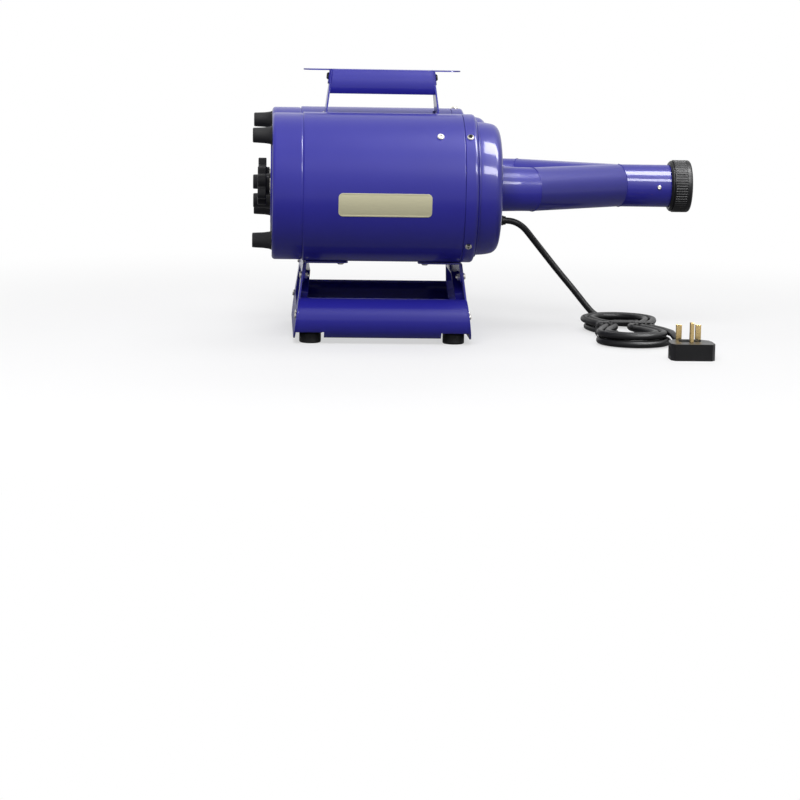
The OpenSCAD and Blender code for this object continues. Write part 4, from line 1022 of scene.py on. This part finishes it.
def blank_plate():
    """Plain plate with round corners and a raised rim, rolled to the near drum."""
    clear()
    bpy.ops.mesh.primitive_plane_add(size=1)
    piece = bpy.context.object
    piece.name = "blank_plate"
    piece.scale = (PLATE_LENGTH * MM, PLATE_HEIGHT * MM, 1)
    settle(piece)
    whole(piece)
    bpy.ops.mesh.bevel(affect="VERTICES", offset=PLATE_CORNER * MM, segments=8)
    bpy.ops.mesh.select_all(action="SELECT")
    bpy.ops.mesh.extrude_region_move(TRANSFORM_OT_translate={"value": (0, 0, PLATE_T * MM)})
    bpy.ops.mesh.inset(thickness=PLATE_RIM * MM)
    bpy.ops.mesh.inset(thickness=0.3 * MM, depth=-0.25 * MM)
    bpy.ops.mesh.select_all(action="SELECT")
    bpy.ops.mesh.normals_make_consistent(inside=False)
    for i in range(1, PLATE_CUTS):
        bpy.ops.mesh.select_all(action="SELECT")
        bpy.ops.mesh.bisect(plane_co=(0, (i / PLATE_CUTS - 0.5) * PLATE_HEIGHT * MM, 0), plane_no=(0, 1, 0))
    bpy.ops.object.mode_set(mode="OBJECT")
    y, z = drum_middle("near")
    for vertex in piece.data.vertices:
        radius = (SHELL_R + SKIN_ROOM) * MM + vertex.co.z
        turn = math.asin(-PLATE_DROP / SHELL_R) + vertex.co.y / (SHELL_R * MM)
        vertex.co = Vector((
            REAR + PLATE_X * MM + vertex.co.x,
            y * MM - radius * math.cos(turn),
            z * MM + radius * math.sin(turn)))
    soften(piece, 0.12, segments=2, angle=40)
    return place(piece, "pale_screws", finish="cream_plate")


blank_plate()

# ---------------------------------------------------------------- cord tie

STRAP_T = 0.8
STRAP_CORNER = 4.6
STRAP_EDGE = 0.2
TONGUE_LENGTH = 30
TONGUE_SHIFT = 4
TONGUE_NARROWER = 0.6
TONGUE_CORNER = 4


def strap_loop(low, high):
    """The strap itself: a flat band round the box from low to high, open along Y."""
    loop = block((low + high) / 2, (high - low) / MM)
    pick_edges(loop, lambda a, b: abs(a.y - b.y) > MM)
    bpy.ops.mesh.bevel(offset=STRAP_CORNER * MM, segments=8)
    pick_faces(loop, lambda face: abs(face.normal.y) > 0.9)
    bpy.ops.mesh.delete(type="FACE")
    take(loop)
    wall = loop.modifiers.new("wall", "SOLIDIFY")
    wall.thickness = STRAP_T * MM
    wall.offset = -1
    bpy.ops.object.modifier_apply(modifier=wall.name)
    soften(loop, STRAP_EDGE, segments=2, angle=50)
    return loop


def strap_tongue(low, high):
    """The strap's end, round at its tip, lying on top of the loop."""
    middle = (low + high) / 2
    size = (TONGUE_LENGTH, (high.y - low.y) / MM - TONGUE_NARROWER, STRAP_T)
    tongue = block((middle.x - TONGUE_SHIFT * MM, middle.y, high.z + STRAP_T / 2 * MM), size)
    pick_edges(tongue, lambda a, b: abs(a.z - b.z) > STRAP_T / 2 * MM and a.x < middle.x)
    bpy.ops.mesh.bevel(offset=TONGUE_CORNER * MM, segments=6)
    soften(tongue, STRAP_EDGE, segments=2, angle=50)
    return tongue


def cord_tie():
    """Hook-and-loop strap round the hank's waist, its tongue folded back over the top."""
    low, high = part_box("cord_tie")
    tie = join_up("cord_tie_made", [strap_loop(low, high), strap_tongue(low, high)])
    return place(tie, "black_plastic", replaced=["cord_tie"], finish="webbing")


cord_tie()

# ---------------------------------------------------------------- marks on the controls

DIAL_Y = 129.8
DIAL_Z = 200.5
DIAL_REST = 240
DIAL_RANGE = 300
SCALE_TICKS = 11
SCALE_R = 15.9
TICK_LENGTHS = (1.2, 2.1)
TICK_WIDTHS = (0.5, 1.0)
TICK_T = 0.08
POINTER = (0.3, 8.6, 1.2)
POINTER_R = 7.2


def dial_spot(radius, turn):
    """Y and Z in millimetres of a place on the speed knob's face."""
    return DIAL_Y + radius * math.cos(turn), DIAL_Z + radius * math.sin(turn)


def dial_scale():
    """Printed ticks round the speed knob, longer and wider towards the fast end."""
    ticks = []
    for i in range(SCALE_TICKS):
        share = i / (SCALE_TICKS - 1)
        turn = math.radians(DIAL_REST - DIAL_RANGE * share)
        length, width = (low + (high - low) * share for low, high in (TICK_LENGTHS, TICK_WIDTHS))
        middle = at(FACE_X + 0.05, *dial_spot(SCALE_R + length / 2, turn))
        ticks.append(block(middle, (TICK_T, length, width), (turn, 0, 0)))
        soften(ticks[-1], 0.03, segments=1)
    return place(join_up("dial_scale", ticks), "pale_screws", finish="white_print")


dial_scale()


def dial_pointer():
    """Raised white line on the face of the speed knob."""
    turn = math.radians(DIAL_REST)
    face = (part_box("speed_knob")[1].x - REAR) / MM
    line = block(at(face + 0.12, *dial_spot(POINTER_R, turn)), POINTER, (turn, 0, 0))
    line.name = "dial_pointer"
    soften(line, 0.1, segments=2)
    return place(line, "black_plastic", "dial", finish="white_print")


dial_pointer()

# The rocker's middle, how far each mark is from it and off the dome's face, and how its halves slope
SWITCH_Y = 128.7
SWITCH_Z = 160.5
MARK_SHIFT = 4.4
BAR_RISE = 3.92
RING_RISE = 2.88
RAISED_SLOPE = math.atan2(2.4, 8)
PRESSED_SLOPE = math.atan2(0.5, 8)


def rocker_marks():
    """A bar on the rocker's raised half and a ring on its pressed half, lying on their slopes."""
    middle = at(FACE_X + BAR_RISE, SWITCH_Y, SWITCH_Z + MARK_SHIFT)
    bar = block(middle, (0.3, 0.8, 3.6), (0, RAISED_SLOPE, 0))
    soften(bar, 0.1, segments=2)
    clear()
    bpy.ops.mesh.primitive_torus_add(
        major_radius=1.7 * MM, minor_radius=0.35 * MM, major_segments=40, minor_segments=10)
    ring = bpy.context.object
    ring.scale = (1, 1, 0.5)
    ring.rotation_euler = (0, math.pi / 2 - PRESSED_SLOPE, 0)
    ring.location = at(FACE_X + RING_RISE, SWITCH_Y, SWITCH_Z - MARK_SHIFT)
    settle(ring)
    smooth_over(ring)
    return place(join_up("rocker_marks", [bar, ring]), "black_plastic", "switch", finish="white_print")


rocker_marks()

length_of(route)

# ---------------------------------------------------------------- stage and light

# The floor's colour as the camera sees it, and as it sends light back to the part
PALE = (0.86, 0.86, 0.87)
BOUNCE = (0.2, 0.2, 0.21)

# Share of plain white in the floor beside the part, as seen and as mirrored, and where it reaches all
NEAR_WHITE = 0.58
NEAR_MIRRORED = 0.1
FADE_START = 0.45
FADE_END = 1.1

# Strength of the surroundings as they are seen or mirrored, and as they light the part
SEEN_WORLD = 1.0
AMBIENT = 0.16


def make_floor():
    """A pale floor that fades to plain white, and bounces less light than it shows."""
    clear()
    bpy.ops.mesh.primitive_plane_add(size=40)
    floor = bpy.context.object
    floor.name = "floor"
    f = Finish("floor", PALE, 0.7, gloss=0.2)
    radius = f.node("VectorMath", {0: f.place}, operation="LENGTH").outputs["Value"]
    away = Value(f, radius).ramp(FADE_START, FADE_END)
    glow = f.node("Emission", {"Color": (1, 1, 1, 1), "Strength": 1.0})
    path = f.node("LightPath", {})
    seen = Value(f, path.outputs["Is Camera Ray"]).math("MAXIMUM", path.outputs["Is Transmission Ray"])
    mirrored = Value(f, path.outputs["Is Glossy Ray"])
    f.paint(f.mix(seen, BOUNCE, PALE))
    share = (seen * (NEAR_WHITE + away * (1 - NEAR_WHITE))
             + mirrored * (NEAR_MIRRORED + away * (1 - NEAR_MIRRORED)))
    blend = f.node("MixShader", {0: share, 1: f.shader.outputs[0], 2: glow.outputs[0]})
    f.tree.links.new(blend.outputs[0], f.tree.nodes["Material Output"].inputs["Surface"])
    floor.data.materials.append(f.material)


def make_world():
    """White surroundings that are seen and mirrored in full, and light the part only a little."""
    world = bpy.data.worlds.new("studio")
    bpy.context.scene.world = world
    world.use_nodes = True
    tree = world.node_tree
    background = tree.nodes["Background"]
    background.inputs["Color"].default_value = (1, 1, 1, 1)
    path = tree.nodes.new("ShaderNodeLightPath")
    seen = path.outputs["Is Camera Ray"]
    for ray in ("Is Glossy Ray", "Is Transmission Ray"):
        either = tree.nodes.new("ShaderNodeMath")
        either.operation = "MAXIMUM"
        tree.links.new(seen, either.inputs[0])
        tree.links.new(path.outputs[ray], either.inputs[1])
        seen = either.outputs[0]
    mix = tree.nodes.new("ShaderNodeMapRange")
    tree.links.new(seen, mix.inputs["Value"])
    mix.inputs["To Min"].default_value = AMBIENT
    mix.inputs["To Max"].default_value = SEEN_WORLD
    tree.links.new(mix.outputs[0], background.inputs["Strength"])


def soft_box(name, spot, target, width, height, power):
    """A rectangular lamp at a spot, facing a target, in metres and watts."""
    light = bpy.data.lights.new(name, "AREA")
    light.shape = "RECTANGLE"
    light.size = width
    light.size_y = height
    light.energy = power
    lamp = bpy.data.objects.new(name, light)
    bpy.context.scene.collection.objects.link(lamp)
    lamp.location = spot
    lamp.rotation_mode = "QUATERNION"
    lamp.rotation_quaternion = (Vector(target) - Vector(spot)).to_track_quat("-Z", "Y")
    return lamp


# Name, place, width, height and power of the boxes that light the part and don't show in it
SOFT_BOXES = (
    ("overhead_box", (0, -0.2, 2.0), 2.2, 1.4, 12),
    ("rear_box", (0.4, 2.2, 1.5), 1.4, 1.2, 22),
    ("front_box", (-0.5, -2.0, 1.9), 1.4, 1.2, 56))
BOX_TARGET = (0, 0, 0.15)

# Name, angle above the floor, distance, height and power of the two long windows beyond the outlet
# end, which show only as reflections
WINDOWS = (
    ("upper_window", 76, 1.4, 0.62, 82),
    ("lower_window", 34, 1.5, 0.34, 42))
WINDOW_TARGET = Vector((0.95, 0, 0.18))
WINDOW_LENGTH = 1.4

make_floor()
make_world()
for name, spot, width, height, power in SOFT_BOXES:
    soft_box(name, spot, BOX_TARGET, width, height, power).visible_glossy = False
for name, angle, distance, height, power in WINDOWS:
    angle = math.radians(angle)
    spot = WINDOW_TARGET + distance * Vector((0, -math.cos(angle), math.sin(angle)))
    soft_box(name, spot, WINDOW_TARGET, WINDOW_LENGTH, height, power).visible_diffuse = False
bpy.context.scene.view_settings.view_transform = "Standard"
